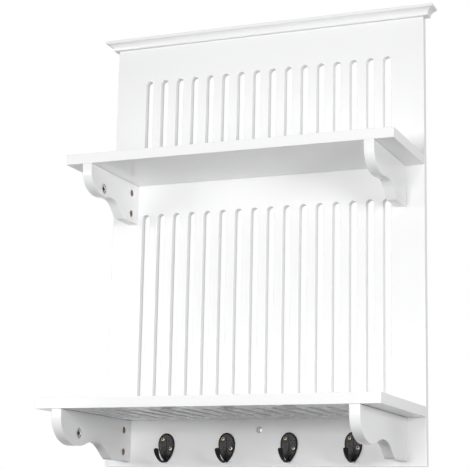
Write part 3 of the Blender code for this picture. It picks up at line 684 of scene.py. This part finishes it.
outlines = [rounded_rectangle((panel_low.x, panel_low.z), (panel_high.x, panel_high.z), CORNER)]
for foot, top in slot_rows:
    outlines += [slot_loop(x, foot, top, SLOT_WIDTH) for x in slot_xs]
standing = Matrix.Translation((0.0, -panel_thickness / 2, 0.0)) @ UPRIGHT
panel_mesh = cut_board("back_panel_painted", outlines, panel_thickness, standing)
panel_mesh.materials.append(paint)
print("panel:", len(outlines) - 1, "slots,", round(1000 * slot_pitch, 2), "mm apart")

# %% Holes in the panel
FIT = 0.0003
HEAD_SINK = 0.0005
WALL_HOLE_DIAMETER = 0.0062
WALL_HOLE_SINK_DIAMETER = 0.0095
WALL_HOLE_SINK_DEPTH = 0.003
WALL_HOLE_DROP = 0.0157
KEYHOLE_SPACING = 0.300
KEYHOLE_DROP = 0.012
KEYHOLE_NECK = 0.0046
KEYHOLE_HEAD = 0.009
KEYHOLE_LIP = 0.003
KEYHOLE_DEPTH = 0.007
TIERS = ("upper", "lower")
HANDS = (("left", -1), ("right", 1))
CORNERS = [(tier + "_" + word, tier, side) for tier in TIERS for word, side in HANDS]
AHEAD = Vector((0.0, -1.0, 0.0))
THROUGH = 2 * panel_thickness


def keyhole_tools(x):
    """A round entry, a narrow neck above it and a wider channel behind the neck."""
    entry = rod((x, KEYHOLE_DEPTH, -KEYHOLE_DROP), (x, -KEYHOLE_DEPTH, -KEYHOLE_DROP), KEYHOLE_HEAD / 2)
    neck = slot_loop(x, -KEYHOLE_DROP, KEYHOLE_NECK / 2, KEYHOLE_NECK)
    narrow = cut_board("neck", [neck], 2 * (KEYHOLE_LIP + FIT), UPRIGHT, 0.0)
    channel = slot_loop(x, -KEYHOLE_DROP - KEYHOLE_HEAD / 2, KEYHOLE_HEAD / 2, KEYHOLE_HEAD)
    depth = KEYHOLE_DEPTH - KEYHOLE_LIP
    back = Matrix.Translation((0.0, -KEYHOLE_LIP - depth / 2, 0.0)) @ UPRIGHT
    wide = cut_board("channel", [channel], depth, back, 0.0)
    return [entry, narrow, wide]


def head_hole(node, head_radius, shank_radius, floor, cone):
    """A hole from behind that takes a fastener's head: a cone for a screw, a flat step for a bolt."""
    _, _, spot = measure(node)
    top = floor if cone else floor + FIT
    rim = HEAD_SINK if cone else top
    profile = [(0.0, THROUGH), (shank_radius + FIT, THROUGH), (shank_radius + FIT, top),
               (head_radius + FIT, rim), (head_radius + FIT, -THROUGH), (0.0, -THROUGH)]
    return turned(profile, laid((spot.x, 0.0, spot.z), AHEAD), fibreboard)


BOLT_NODES = [corner + "_bolt_" + str(number) for corner, _, _ in CORNERS for number in (1, 2)]
SCREW_NODES = [tier + "_shelf_screw_" + str(number) for tier in TIERS for number in (1, 2, 3)]
DOWEL_NODES = ["crown_dowel_" + str(number) for number in (1, 2, 3)]
HOOK_NODES = ["hook_" + str(number) for number in (1, 2, 3, 4)]
HOOK_SCREW_NODES = [hook + "_screw_" + str(number) for hook in HOOK_NODES for number in (1, 2)]
print(len(BOLT_NODES), "bolts,", len(SCREW_NODES), "shelf screws,", len(HOOK_SCREW_NODES), "hook screws")

# %% Drill the panel
BOLT_DIAMETER = 0.0056
BOLT_HEAD_DIAMETER = 0.012
BOLT_HEAD_THICKNESS = 0.0025
SHELF_SCREW_DIAMETER = 0.0046
SHELF_SCREW_HEAD_DIAMETER = 0.009
SHELF_SCREW_HEAD_HEIGHT = 0.0024

bore = WALL_HOLE_DIAMETER / 2
mouth = WALL_HOLE_SINK_DIAMETER / 2
wall_hole = [(0.0, THROUGH), (mouth, THROUGH), (mouth, panel_thickness),
             (bore, panel_thickness - WALL_HOLE_SINK_DEPTH), (bore, -THROUGH), (0.0, -THROUGH)]
wall_hole_spot = (0.0, 0.0, lower_low.z - WALL_HOLE_DROP)
panel_mesh = cut_away(panel_mesh, [turned(wall_hole, laid(wall_hole_spot, AHEAD), paint)], paint)
tools = []
for side in (-1, 1):
    tools += keyhole_tools(side * KEYHOLE_SPACING / 2)
for node in BOLT_NODES:
    tools.append(head_hole(node, BOLT_HEAD_DIAMETER / 2, BOLT_DIAMETER / 2,
                           HEAD_SINK + BOLT_HEAD_THICKNESS, False))
for node in SCREW_NODES:
    tools.append(head_hole(node, SHELF_SCREW_HEAD_DIAMETER / 2, SHELF_SCREW_DIAMETER / 2,
                           HEAD_SINK + SHELF_SCREW_HEAD_HEIGHT, True))
for node in DOWEL_NODES:
    low, high, spot = measure(node)
    tools.append(rod((spot.x, spot.y, low.z - FIT), (spot.x, spot.y, high.z), (high.x - low.x) / 2 + FIT))
panel_mesh = cut_away(panel_mesh, tools, fibreboard)
dress("back_panel_painted", panel_mesh, "white_paint", "back_panel")
print("panel drilled", len(tools), "times,", len(panel_mesh.polygons), "faces")

# %% [markdown]
# ## Shelves
#
# Both shelves are plain boards that butt against the panel. The lower one is deeper and has sixteen slots in
# line with the panel's, which plate rims drop into. Their back edges and undersides take screws and cam
# bolts, so those are drilled too, although the holes stay hidden.

# %% Cut and drill the shelves
PLATE_SLOT_BACK = 0.037
PLATE_SLOT_FRONT = 0.036
CAM_BOLT_DIAMETER = 0.006

for tier in TIERS:
    low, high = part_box(tier + "_shelf")
    outlines = [rounded_rectangle((low.x, low.y), (high.x, high.y), CORNER)]
    if tier == "lower":
        front = low.y + PLATE_SLOT_FRONT
        back = panel_low.y - PLATE_SLOT_BACK
        outlines += [slot_loop(x, front, back, SLOT_WIDTH) for x in slot_xs]
    lying = Matrix.Translation((0.0, 0.0, (low.z + high.z) / 2))
    mesh = cut_board(tier + "_shelf_painted", outlines, high.z - low.z, lying)
    mesh.materials.append(paint)
    tools = []
    for number in (1, 2, 3):
        screw_low, _, spot = measure(tier + "_shelf_screw_" + str(number))
        tools.append(rod((spot.x, 0.0, spot.z), (spot.x, screw_low.y - FIT, spot.z),
                         SHELF_SCREW_DIAMETER / 2 + FIT))
    for word, _ in HANDS:
        _, bolt_high, spot = measure(tier + "_" + word + "_cam_bolt")
        tools.append(rod(spot, (spot.x, spot.y, bolt_high.z + FIT), CAM_BOLT_DIAMETER / 2 + FIT))
    mesh = cut_away(mesh, tools, fibreboard)
    dress(tier + "_shelf_painted", mesh, "white_paint", tier + "_shelf")
    print(tier, "shelf:", len(outlines) - 1, "slots,", len(mesh.polygons), "faces")

# %% [markdown]
# ## Crown cap
#
# The cap is a moulding with a cove along its front and both ends, mitred at the corners and flush behind. A
# moulding could be a profile swept round a path, but here every level is the same outline, only wider or
# narrower. So one function gives that outline for any overhang, the profile gives the overhang at each
# height, and the levels are bridged into a skin. The profile's two outer edges are rounded by short arcs.

# %% Crown profile
CROWN_FILLET = 0.0045
CROWN_END_OVERHANG = 0.0075
CROWN_FRONT_OVERHANG = 0.005
COVE_LEVELS = 20
CROWN_EASE = 0.0007
EASE_LEVELS = 4

crown_low, crown_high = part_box("crown_cap")
cove_run = crown_high.x - panel_high.x - CROWN_END_OVERHANG
cove_height = crown_high.z - crown_low.z - CROWN_FILLET


def quarter_turns(count):
    """Angles from 0 to a right angle, in even steps."""
    return [math.pi / 2 * i / count for i in range(count + 1)]


levels = [(cove_height * math.sin(turn), cove_run * (1 - math.cos(turn)))
          for turn in quarter_turns(COVE_LEVELS)]
levels = [(level, out) for level, out in levels if out < cove_run - CROWN_EASE]
for base, swing in ((cove_height + CROWN_EASE, -1), (cove_height + CROWN_FILLET - CROWN_EASE, 1)):
    levels += [(base + swing * CROWN_EASE * math.sin(turn), cove_run - CROWN_EASE * (1 - math.cos(turn)))
               for turn in quarter_turns(EASE_LEVELS)[::swing]]
print("crown: cove", round(1000 * cove_run, 1), "mm deep,", len(levels), "levels")

# %% Crown
CROWN_CORNER_STEPS = 4


def crown_ring(shape, level, out):
    """One level of the crown: square behind, with its two front corners rounded."""
    side = panel_high.x + CROWN_END_OVERHANG + out
    front = panel_low.y - CROWN_FRONT_OVERHANG - out
    corner = [(side - CROWN_EASE * (1 - math.sin(turn)), front + CROWN_EASE * (1 - math.cos(turn)))
              for turn in quarter_turns(CROWN_CORNER_STEPS)]
    plan = [(-side, 0.0)] + [(-x, y) for x, y in reversed(corner)] + corner + [(side, 0.0)]
    return [shape.verts.new((x, y, crown_low.z + level)) for x, y in plan]


shape = bmesh.new()
rings = [crown_ring(shape, level, out) for level, out in levels]
for below, above in zip(rings, rings[1:]):
    for i in range(len(below)):
        shape.faces.new((below[i - 1], below[i], above[i], above[i - 1]))
shape.faces.new(rings[0])
shape.faces.new(rings[-1])
mesh = settle(add_object("crown", mesh_of(shape, "crown")))
mesh.materials.append(paint)
tools = []
for node in DOWEL_NODES:
    low, high, spot = measure(node)
    tools.append(rod(spot, (spot.x, spot.y, high.z + FIT), (high.x - low.x) / 2 + FIT))
mesh = cut_away(mesh, tools, fibreboard)
dress("crown_cap_painted", mesh, "white_paint", "crown_cap")
print("crown:", len(mesh.polygons), "faces")

# %% [markdown]
# ## Brackets
#
# Each bracket is a board with a scrolled edge: a round nose at the front, a swing up into a cove, and a fall
# to a flat toe against the panel. It is one outline of Bezier curves, the same for left and right. A cam and
# two barrel nuts sit in holes in its inner face, and the bolts run into it from behind, so it is drilled
# from both sides.

# %% The scroll
NOSE_STRAIGHT = 0.012
COVE_DROP = 0.0385
SWING_PULL = 0.45
COVE_PULL = 0.50
TOE_PULL = 0.35
TOE_LIFT = 0.40
SCROLLS = {"upper": {"nose_run": 0.040, "nose_drop": 0.041, "swing": 0.030, "toe": 0.0495},
           "lower": {"nose_run": 0.050, "nose_drop": 0.048, "swing": 0.057, "toe": 0.060}}


def scroll(depth, drop, nose_run, nose_drop, swing, toe):
    """A bracket from the side, as distance out from the panel and height under the shelf."""
    nose_end = depth - nose_run
    cove = nose_end - swing
    nose_reach = QUARTER * nose_run
    drop_reach = QUARTER * (nose_drop - NOSE_STRAIGHT)
    reach = swing * SWING_PULL
    run = cove - toe
    toe_handle = (toe + run * TOE_PULL, (drop - COVE_DROP) * TOE_LIFT - drop)
    return [
        ((FIT, -FIT), None, None),
        ((FIT, -drop), None, None),
        ((toe, -drop), None, toe_handle),
        ((cove, -COVE_DROP), (cove - run * COVE_PULL, -COVE_DROP), (cove + reach, -COVE_DROP)),
        ((nose_end, -nose_drop), (nose_end - reach, -nose_drop), (nose_end + nose_reach, -nose_drop)),
        ((depth, -NOSE_STRAIGHT), (depth, -NOSE_STRAIGHT - drop_reach), None),
        ((depth, -FIT), None, None),
    ]


print("scrolls for", list(SCROLLS))

# %% Cut and drill the brackets
CAM_DIAMETER = 0.015
CAM_BACKING = 0.0025
CAM_BOLT_HEAD_DIAMETER = 0.0068
NUT_DIAMETER = 0.010

for corner, tier, side in CORNERS:
    name = corner + "_bracket"
    low, high, spot = measure(name)
    across = spot.x
    half = (high.x - low.x) / 2
    top = high.z + FIT
    outline = scroll(panel_low.y - low.y, top - low.z, **SCROLLS[tier])
    side_on = Matrix(((0, 0, -1, across), (-1, 0, 0, panel_low.y), (0, 1, 0, top), (0, 0, 0, 1)))
    mesh = cut_board(name + "_painted", [outline], 2 * half, side_on)
    mesh.materials.append(paint)
    _, _, cam = measure(corner + "_cam_lock")
    past = across - side * (half + CAM_DIAMETER)
    pocket_floor = across + side * (half - CAM_BACKING)
    tools = [rod((past, cam.y, cam.z), (pocket_floor, cam.y, cam.z), CAM_DIAMETER / 2),
             rod((across, cam.y, cam.z), (across, cam.y, top + FIT), CAM_BOLT_HEAD_DIAMETER / 2 + FIT)]
    for number in (1, 2):
        nut_low, nut_high, nut = measure(corner + "_barrel_nut_" + str(number))
        hole_floor = nut.x + side * ((nut_high.x - nut_low.x) / 2 + FIT)
        tools.append(rod((past, nut.y, nut.z), (hole_floor, nut.y, nut.z), NUT_DIAMETER / 2))
        bolt_low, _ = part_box(corner + "_bolt_" + str(number))
        tools.append(rod((across, 0.0, nut.z), (across, bolt_low.y - FIT, nut.z), BOLT_DIAMETER / 2 + FIT))
    mesh = cut_away(mesh, tools, fibreboard)
    dress(name + "_painted", mesh, "white_paint", name)
    print(name + ":", len(tools), "holes,", len(mesh.polygons), "faces")

# %% [markdown]
# ## Cams and their bolts
#
# A cam is a die-cast drum that is turned with a cross-head driver. It grips the head of a bolt in the shelf
# and draws the bracket tight. Only its face shows, so the work goes there: a rounded rim, a shallow step and
# a cross. The cross is two blocks taken out with the same Boolean as the holes.

# %% Cams
CROSS_LENGTH = 0.0080
CROSS_WIDTH = 0.0024
CROSS_DEPTH = 0.0030
RIM_ROUND = 0.0006
FACE_STEP = 0.0004
FACE_INSET = 0.0011
MOUTH_LENGTH = 0.004


def cross_tools(turn, length, width, depth):
    """Two crossed blocks that cut a driver's cross into a face at the origin of the turn."""
    return [block((length, width, 2 * depth), turn), block((width, length, 2 * depth), turn)]


for corner, _, side in CORNERS:
    node = corner + "_cam_lock"
    low, high, spot = measure(node)
    radius = (high.z - low.z) / 2
    length = high.x - low.x
    face = Vector((low.x if side > 0 else high.x, spot.y, spot.z))
    lying = laid(face, (-side, 0.0, 0.0))
    inset = radius - FACE_INSET
    profile = [(0.0, -FACE_STEP), (inset, -FACE_STEP), (inset + FACE_STEP, 0.0), (radius - RIM_ROUND, 0.0),
               (radius - RIM_ROUND / 3, -RIM_ROUND / 3), (radius, -RIM_ROUND), (radius, -length),
               (0.0, -length)]
    mesh = turned(profile, lying, cast_zinc, 2 * LATHE_STEPS)
    _, _, bolt = measure(corner + "_cam_bolt")
    mouth = rod((bolt.x, face.y, face.z - MOUTH_LENGTH / 2 - FIT), (bolt.x, face.y, face.z + CAM_DIAMETER),
                CAM_BOLT_HEAD_DIAMETER / 2 + FIT)
    # The cross and the mouth take a nearly black zinc: painted shade in the recesses.
    mesh = cut_away(mesh, cross_tools(lying, CROSS_LENGTH, CROSS_WIDTH, CROSS_DEPTH) + [mouth], painted_shade_zinc)
    dress(node + "_cast", mesh, "zinc", node)
    print(node + ":", round(2000 * radius, 1), "mm across,", len(mesh.polygons), "faces")

# %% Cam bolts
CAM_BOLT_NECK_DIAMETER = 0.004
CAM_BOLT_NECK_LENGTH = 0.004
CAM_BOLT_SHANK_DIAMETER = 0.0052
CAM_BOLT_THREAD_LENGTH = 0.010
CAM_BOLT_PITCH = 0.002
BOLT_EDGE = 0.0004

for corner, _, _ in CORNERS:
    node = corner + "_cam_bolt"
    low, high, spot = measure(node)
    head = CAM_BOLT_HEAD_DIAMETER / 2
    neck = CAM_BOLT_NECK_DIAMETER / 2
    shank = CAM_BOLT_SHANK_DIAMETER / 2
    outer = CAM_BOLT_DIAMETER / 2
    top = high.z - low.z
    collar = top - CAM_BOLT_THREAD_LENGTH
    neck_top = MOUTH_LENGTH + CAM_BOLT_NECK_LENGTH
    profile = [(0.0, top), (shank - BOLT_EDGE, top)]
    profile += thread(outer, outer - shank, top - BOLT_EDGE, collar, CAM_BOLT_PITCH)
    profile += [(shank, collar), (shank, neck_top), (neck, neck_top), (neck, MOUTH_LENGTH),
                (head - BOLT_EDGE, MOUTH_LENGTH), (head, MOUTH_LENGTH - BOLT_EDGE), (head, BOLT_EDGE),
                (head - BOLT_EDGE, 0.0), (0.0, 0.0)]
    mesh = turned(profile, Matrix.Translation((spot.x, spot.y, low.z)), bright_steel)
    dress(node + "_turned", mesh, "steel", node)
print("cam bolts:", round(1000 * top, 1), "mm long on the lower tier")

# %% [markdown]
# ## Barrel nuts and bolts
#
# A barrel nut lies across the bracket with a threaded hole through its waist. The bolt from behind the panel
# screws into it and pulls the bracket against the panel. From inside, the nut's slotted end shows at the
# bottom of its hole. From behind, the bolts show as flat round heads with a six-sided socket.

# %% Barrel nuts
NUT_EDGE = 0.0005
NUT_SLOT_WIDTH = 0.0012
NUT_SLOT_DEPTH = 0.001
NUTS = [(corner + "_barrel_nut_" + str(number), side) for corner, _, side in CORNERS for number in (1, 2)]

for node, side in NUTS:
    low, high, spot = measure(node)
    radius = (high.z - low.z) / 2
    half = (high.x - low.x) / 2
    lying = laid(spot, (-side, 0.0, 0.0))
    profile = [(0.0, half), (radius - NUT_EDGE, half), (radius, half - NUT_EDGE),
               (radius, NUT_EDGE - half), (radius - NUT_EDGE, -half), (0.0, -half)]
    mesh = turned(profile, lying, cast_zinc)
    groove = laid(spot - Vector((side * half, 0.0, 0.0)), (-side, 0.0, 0.0))
    tools = [block((4 * radius, NUT_SLOT_WIDTH, 2 * NUT_SLOT_DEPTH), groove),
             rod(spot + 2 * radius * AHEAD, spot - 2 * radius * AHEAD, BOLT_DIAMETER / 2 + FIT)]
    mesh = cut_away(mesh, tools, cast_zinc)
    dress(node + "_cast", mesh, "zinc", node)
print(len(NUTS), "barrel nuts,", round(2000 * radius, 1), "mm across")

# %% Bolts
SOCKET_DIAMETER = 0.0046
SOCKET_DEPTH = 0.0015
SOCKET_SIDES = 6
BOLT_PITCH = 0.001
BOLT_THREAD_DEPTH = 0.0005
HEAD_ROUND = 0.0007

for node in BOLT_NODES:
    low, high, spot = measure(node)
    head = BOLT_HEAD_DIAMETER / 2
    outer = BOLT_DIAMETER / 2
    tip = high.y - low.y
    lying = laid((spot.x, high.y, spot.z), AHEAD)
    profile = [(0.0, tip), (outer - BOLT_THREAD_DEPTH, tip)]
    profile += thread(outer, BOLT_THREAD_DEPTH, tip - BOLT_EDGE, panel_thickness, BOLT_PITCH)
    profile += [(outer, panel_thickness - BOLT_EDGE), (outer, BOLT_HEAD_THICKNESS),
                (head, BOLT_HEAD_THICKNESS), (head, HEAD_ROUND), (head - HEAD_ROUND / 3, HEAD_ROUND / 3),
                (head - HEAD_ROUND, 0.0), (0.0, 0.0)]
    mesh = turned(profile, lying, bright_steel)
    depth = Vector((0.0, 0.0, SOCKET_DEPTH))
    socket = rod(lying @ -depth, lying @ depth, SOCKET_DIAMETER / 2, SOCKET_SIDES)
    mesh = cut_away(mesh, [socket], bright_steel)
    dress(node + "_turned", mesh, "steel", node)
print(len(BOLT_NODES), "bolts,", round(1000 * tip, 1), "mm long")

# %% [markdown]
# ## Shelf screws and dowels
#
# Each shelf is screwed on from behind with three countersunk wood screws, and beech dowels pin the crown to
# the panel. The screws show as sunk heads with a cross. The dowels are hidden, but they are fluted as real
# ones are, so that glue can creep up them: each point's distance from the axis dips in step with its angle.

# %% Shelf screws
SCREW_PITCH = 0.002
SCREW_THREAD_DEPTH = 0.0008
SCREW_POINT = 0.004
SCREW_SMOOTH = 0.014
SCREW_CROSS_LENGTH = 0.0044
SCREW_CROSS_WIDTH = 0.0010
SCREW_CROSS_DEPTH = 0.0015
COUNTERSINK_RIM = 0.0002

for node in SCREW_NODES:
    low, high, spot = measure(node)
    head = SHELF_SCREW_HEAD_DIAMETER / 2
    outer = SHELF_SCREW_DIAMETER / 2
    tip = high.y - low.y
    lying = laid((spot.x, high.y, spot.z), AHEAD)
    profile = [(0.0, tip)]
    profile += thread(outer, SCREW_THREAD_DEPTH, tip - SCREW_POINT, SCREW_SMOOTH, SCREW_PITCH)
    profile += [(outer, SCREW_SMOOTH - BOLT_EDGE), (outer, SHELF_SCREW_HEAD_HEIGHT), (head, COUNTERSINK_RIM),
                (head, 0.0), (0.0, 0.0)]
    mesh = turned(profile, lying, bright_steel)
    mesh = cut_away(mesh, cross_tools(lying, SCREW_CROSS_LENGTH, SCREW_CROSS_WIDTH, SCREW_CROSS_DEPTH),
                    bright_steel)
    dress(node + "_turned", mesh, "steel", node)
print(len(SCREW_NODES), "shelf screws,", round(1000 * tip, 1), "mm long")

# %% Dowels
FLUTES = 12
FLUTE_DEPTH = 0.0003
DOWEL_CHAMFER = 0.0008
DOWEL_STEPS = 96

for node in DOWEL_NODES:
    low, high, spot = measure(node)
    radius = (high.x - low.x) / 2
    top = high.z - low.z
    profile = [(0.0, top), (radius - DOWEL_CHAMFER, top), (radius, top - DOWEL_CHAMFER),
               (radius, DOWEL_CHAMFER), (radius - DOWEL_CHAMFER, 0.0), (0.0, 0.0)]
    mesh = turned(profile, Matrix(), beech, DOWEL_STEPS)
    for vert in mesh.vertices:
        reach = math.hypot(vert.co.x, vert.co.y)
        angle = math.atan2(vert.co.y, vert.co.x)
        if reach > radius - FLUTE_DEPTH:
            dip = FLUTE_DEPTH * (0.5 + 0.5 * math.cos(FLUTES * angle))
            vert.co.x *= (reach - dip) / reach
            vert.co.y *= (reach - dip) / reach
    mesh.transform(Matrix.Translation((spot.x, spot.y, low.z)))
    dress(node + "_fluted", mesh, "beech", node)
print(len(DOWEL_NODES), "dowels with", FLUTES, "flutes each")

# %% [markdown]
# ## Hooks
#
# Each hook is one iron casting: a leaf-shaped plate with a raised rim and a faint line down its middle,
# drawn out at the foot into a prong that swings forward and up to a round club. A casting has no sharp
# joins. So the plate and the prong are made roughly, put in one mesh, and remeshed in fine voxels, which
# melts them into one skin, and smoothing rounds the joins as a mould would. Only then is the plate's front
# sunk inside its rim. All four hooks share the mesh.

# %% Plate and prong
HOOK_WIDTH = 0.026
HOOK_HEIGHT = 0.0455
HOOK_HEAD_RISE = 0.0165
HOOK_PLATE_THICKNESS = 0.003
HOOK_RIM = 0.0009
LEAF_FOOT_WIDTH = 0.003
LEAF_FOOT_RISE = 0.003
LEAF_PULL = 0.42
LEAF_FLARE = 0.0064
LEAF_FLARE_RISE = 0.0074
PRONG_THICKNESS = 0.0035
PRONG_ROOT_RISE = 0.0088
BELLY_OUT = 0.0133
BELLY_RISE = 0.0029
BELLY_BACK = 0.0067
BELLY_AHEAD = 0.0100
HOOK_REACH = 0.039
TIP_RISE = 0.0190
TIP_LIFT = 0.0094
TIP_LEAN = 0.0020
TIP_SWELL = 1.44
TIP_SPREAD = 1.70
PRONG_ROUNDNESS = 6
CLUB_SIDES = 32
CLUB_RINGS = 20


def leaf_outline():
    """The plate's outline, counter-clockwise: a round head that draws in to the foot."""
    half = HOOK_WIDTH / 2
    shoulder = HOOK_HEIGHT - HOOK_HEAD_RISE
    across = QUARTER * half
    up = QUARTER * HOOK_HEAD_RISE
    down = shoulder * LEAF_PULL
    foot = LEAF_FOOT_WIDTH / 2
    return [
        ((0.0, HOOK_HEIGHT), (across, HOOK_HEIGHT), (-across, HOOK_HEIGHT)),
        ((-half, shoulder), (-half, shoulder + up), (-half, shoulder - down)),
        ((-foot, LEAF_FOOT_RISE), (-LEAF_FLARE, LEAF_FLARE_RISE), None),
        ((foot, LEAF_FOOT_RISE), None, (LEAF_FLARE, LEAF_FLARE_RISE)),
        ((half, shoulder), (half, shoulder - down), (half, shoulder + up)),
    ]


def spread_across(mesh):
    """Widen a prong across the hook, more and more towards its tip."""
    for vert in mesh.vertices:
        share = (vert.co.z - BELLY_OUT) / (HOOK_REACH - BELLY_OUT)
        vert.co.x *= 1 + (TIP_SPREAD - 1) * max(share, 0.0) ** 2


club_radius = TIP_SWELL * PRONG_THICKNESS / 2
tip = Vector((0.0, TIP_RISE, HOOK_REACH - club_radius))


def prong_mesh():
    """The prong: from the plate's foot forward to its belly, then up to its tip in one sweep."""
    curve = bpy.data.curves.new("prong", "CURVE")
    curve.dimensions = "3D"
    curve.bevel_depth = PRONG_THICKNESS / 2
    curve.bevel_resolution = PRONG_ROUNDNESS
    curve.use_fill_caps = True
    curve.resolution_u = CURVE_STEPS
    root = Vector((0.0, PRONG_ROOT_RISE, PRONG_THICKNESS / 2))
    belly = Vector((0.0, BELLY_RISE, BELLY_OUT))
    below_root = Vector((0.0, BELLY_RISE + PRONG_THICKNESS / 2, PRONG_THICKNESS / 2))
    behind = Vector((0.0, BELLY_RISE, BELLY_OUT - BELLY_BACK))
    ahead = Vector((0.0, BELLY_RISE, BELLY_OUT + BELLY_AHEAD))
    below_tip = tip - Vector((0.0, TIP_LIFT, TIP_LEAN))
    spline = lay_spline(curve, ((root, root, below_root), (belly, behind, ahead), (tip, below_tip, tip)))
    spline.bezier_points[-1].radius = TIP_SWELL
    mesh = settle(add_object("prong", curve))
    spread_across(mesh)
    return mesh


def club_mesh():
    """The round end of the prong."""
    shape = bmesh.new()
    bmesh.ops.create_uvsphere(shape, u_segments=CLUB_SIDES, v_segments=CLUB_RINGS, radius=club_radius)
    bmesh.ops.translate(shape, vec=tip, verts=shape.verts)
    mesh = mesh_of(shape, "club")
    spread_across(mesh)
    return mesh


plate = cut_board("leaf", [leaf_outline()], HOOK_PLATE_THICKNESS,
                  Matrix.Translation((0.0, 0.0, HOOK_PLATE_THICKNESS / 2)), HOOK_RIM)
print("plate:", len(plate.polygons), "faces before it is melted with the prong")

# %% Melt them into one casting
VOXEL = 0.00042
MELT_PASSES = 5
MELT_SHARE = 0.5
DISH = 0.0009
DISH_START = 0.80
DISH_END = 0.93
DISH_FOOT = (0.010, 0.017)
LINE_DEPTH = 0.00035
LINE_WIDTH = 0.0007
LINE_FOOT = (0.017, 0.021)
LINE_HEAD = (0.038, 0.041)
FACING = 0.9


def ease_between(value, low, high):
    """0 below low, 1 above high, and a smooth step between them."""
    share = min(max((value - low) / (high - low), 0.0), 1.0)
    return share * share * (3 - 2 * share)


def share_of_leaf(x, height):
    """How far a spot on the plate lies from its middle: 0 in the middle, 1 at the outline."""
    half = HOOK_WIDTH / 2
    shoulder = HOOK_HEIGHT - HOOK_HEAD_RISE
    if height > shoulder:
        return math.hypot(x / half, (height - shoulder) / HOOK_HEAD_RISE)
    foot = LEAF_FOOT_WIDTH / 2
    climb = max(height - LEAF_FOOT_RISE, 0.0) / (shoulder - LEAF_FOOT_RISE)
    return abs(x) / (foot + (half - foot) * math.sin(math.pi / 2 * climb))


def melt(meshes):
    """Several closed meshes remeshed into one skin, and smoothed."""
    shape = bmesh.new()
    for mesh in meshes:
        shape.from_mesh(mesh)
    helper = add_object("hook", mesh_of(shape, "hook"))
    voxels = helper.modifiers.new("Melt", "REMESH")
    voxels.mode = "VOXEL"
    voxels.voxel_size = VOXEL
    smooth = helper.modifiers.new("Smooth", "SMOOTH")
    smooth.factor = MELT_SHARE
    smooth.iterations = MELT_PASSES
    return settle(helper)


casting = melt([plate, prong_mesh(), club_mesh()])
top = HOOK_PLATE_THICKNESS + VOXEL
face = [vert for vert in casting.vertices if vert.normal.z > FACING and vert.co.z < top]
# This mask marks the sunk field, less its middle line, where the iron is painted paler as a painted sheen.
painted_sheen_marks = casting.attributes.new("painted_sheen", "FLOAT", "POINT")
for vert in face:
    x, up, _ = vert.co
    inside = 1 - ease_between(share_of_leaf(x, up), DISH_START, DISH_END)
    inside *= ease_between(up, *DISH_FOOT)
    along = ease_between(up, *LINE_FOOT) * (1 - ease_between(up, *LINE_HEAD))
    line = along * math.exp(-(x / LINE_WIDTH) ** 2)
    vert.co.z -= DISH * inside + LINE_DEPTH * line
    painted_sheen_marks.data[vert.index].value = inside * (1 - line)
casting.materials.append(black_iron)
casting.shade_smooth()
print("hook casting:", len(casting.polygons), "faces")

# %% Hang the hooks
casting.transform(UPRIGHT)
for node in HOOK_NODES:
    _, high, spot = measure(node)
    foot = (spot.x, high.y, high.z - HOOK_HEIGHT)
    dress(node + "_cast", casting, "black_iron", node, place=foot)
    print(node, "at", [round(v, 4) for v in foot])

# %% [markdown]
# ## Hook screws
#
# Two round-headed brass screws hold each hook, one high on the left and one lower on the right. The head is a
# low dome with a cross and a round pit cut into it, and the cut faces get a nearly black brass, which is
# painted shade, so the head reads as a bright ring round a dark middle.

# %% Hook screws
HOOK_SCREW_DIAMETER = 0.0028
HOOK_SCREW_HEAD_DIAMETER = 0.0052
HOOK_SCREW_HEAD_HEIGHT = 0.0016
DOME_STEPS = 8
HOOK_CROSS_LENGTH = 0.0027
HOOK_CROSS_WIDTH = 0.0008
HOOK_CROSS_DEPTH = 0.0010
PIT_DIAMETER = 0.0028
PIT_DEPTH = 0.0014

for node in HOOK_SCREW_NODES:
    low, high, spot = measure(node)
    outer = HOOK_SCREW_DIAMETER / 2
    head = HOOK_SCREW_HEAD_DIAMETER / 2
    length = high.y - low.y
    seat = length - HOOK_SCREW_HEAD_HEIGHT
    lying = laid((spot.x, high.y, spot.z), AHEAD)
    profile = [(head * math.sin(turn), seat + HOOK_SCREW_HEAD_HEIGHT * math.cos(turn))
               for turn in quarter_turns(DOME_STEPS)]
    profile += [(outer, seat), (0.0, 0.0)]
    mesh = turned(profile, lying, brass)
    top = laid((spot.x, low.y, spot.z), AHEAD)
    tools = cross_tools(top, HOOK_CROSS_LENGTH, HOOK_CROSS_WIDTH, HOOK_CROSS_DEPTH)
    pit = Vector((0.0, 0.0, PIT_DEPTH))
    tools.append(rod(top @ -pit, top @ pit, PIT_DIAMETER / 2))
    # The cross and the pit take a nearly black brass: painted shade in the recess.
    mesh = cut_away(mesh, tools, painted_shade_brass)
    dress(node + "_turned", mesh, "brass", node)
print(len(HOOK_SCREW_NODES), "hook screws,", round(1000 * length, 1), "mm long")

# %% [markdown]
# ## Last look
#
# A dressed piece should not outgrow the model it stands for, so the dressed rack's size is printed.

# %% Sizes and finish
low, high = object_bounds()
print("dressed rack:", [round(v, 4) for v in high - low], "m")
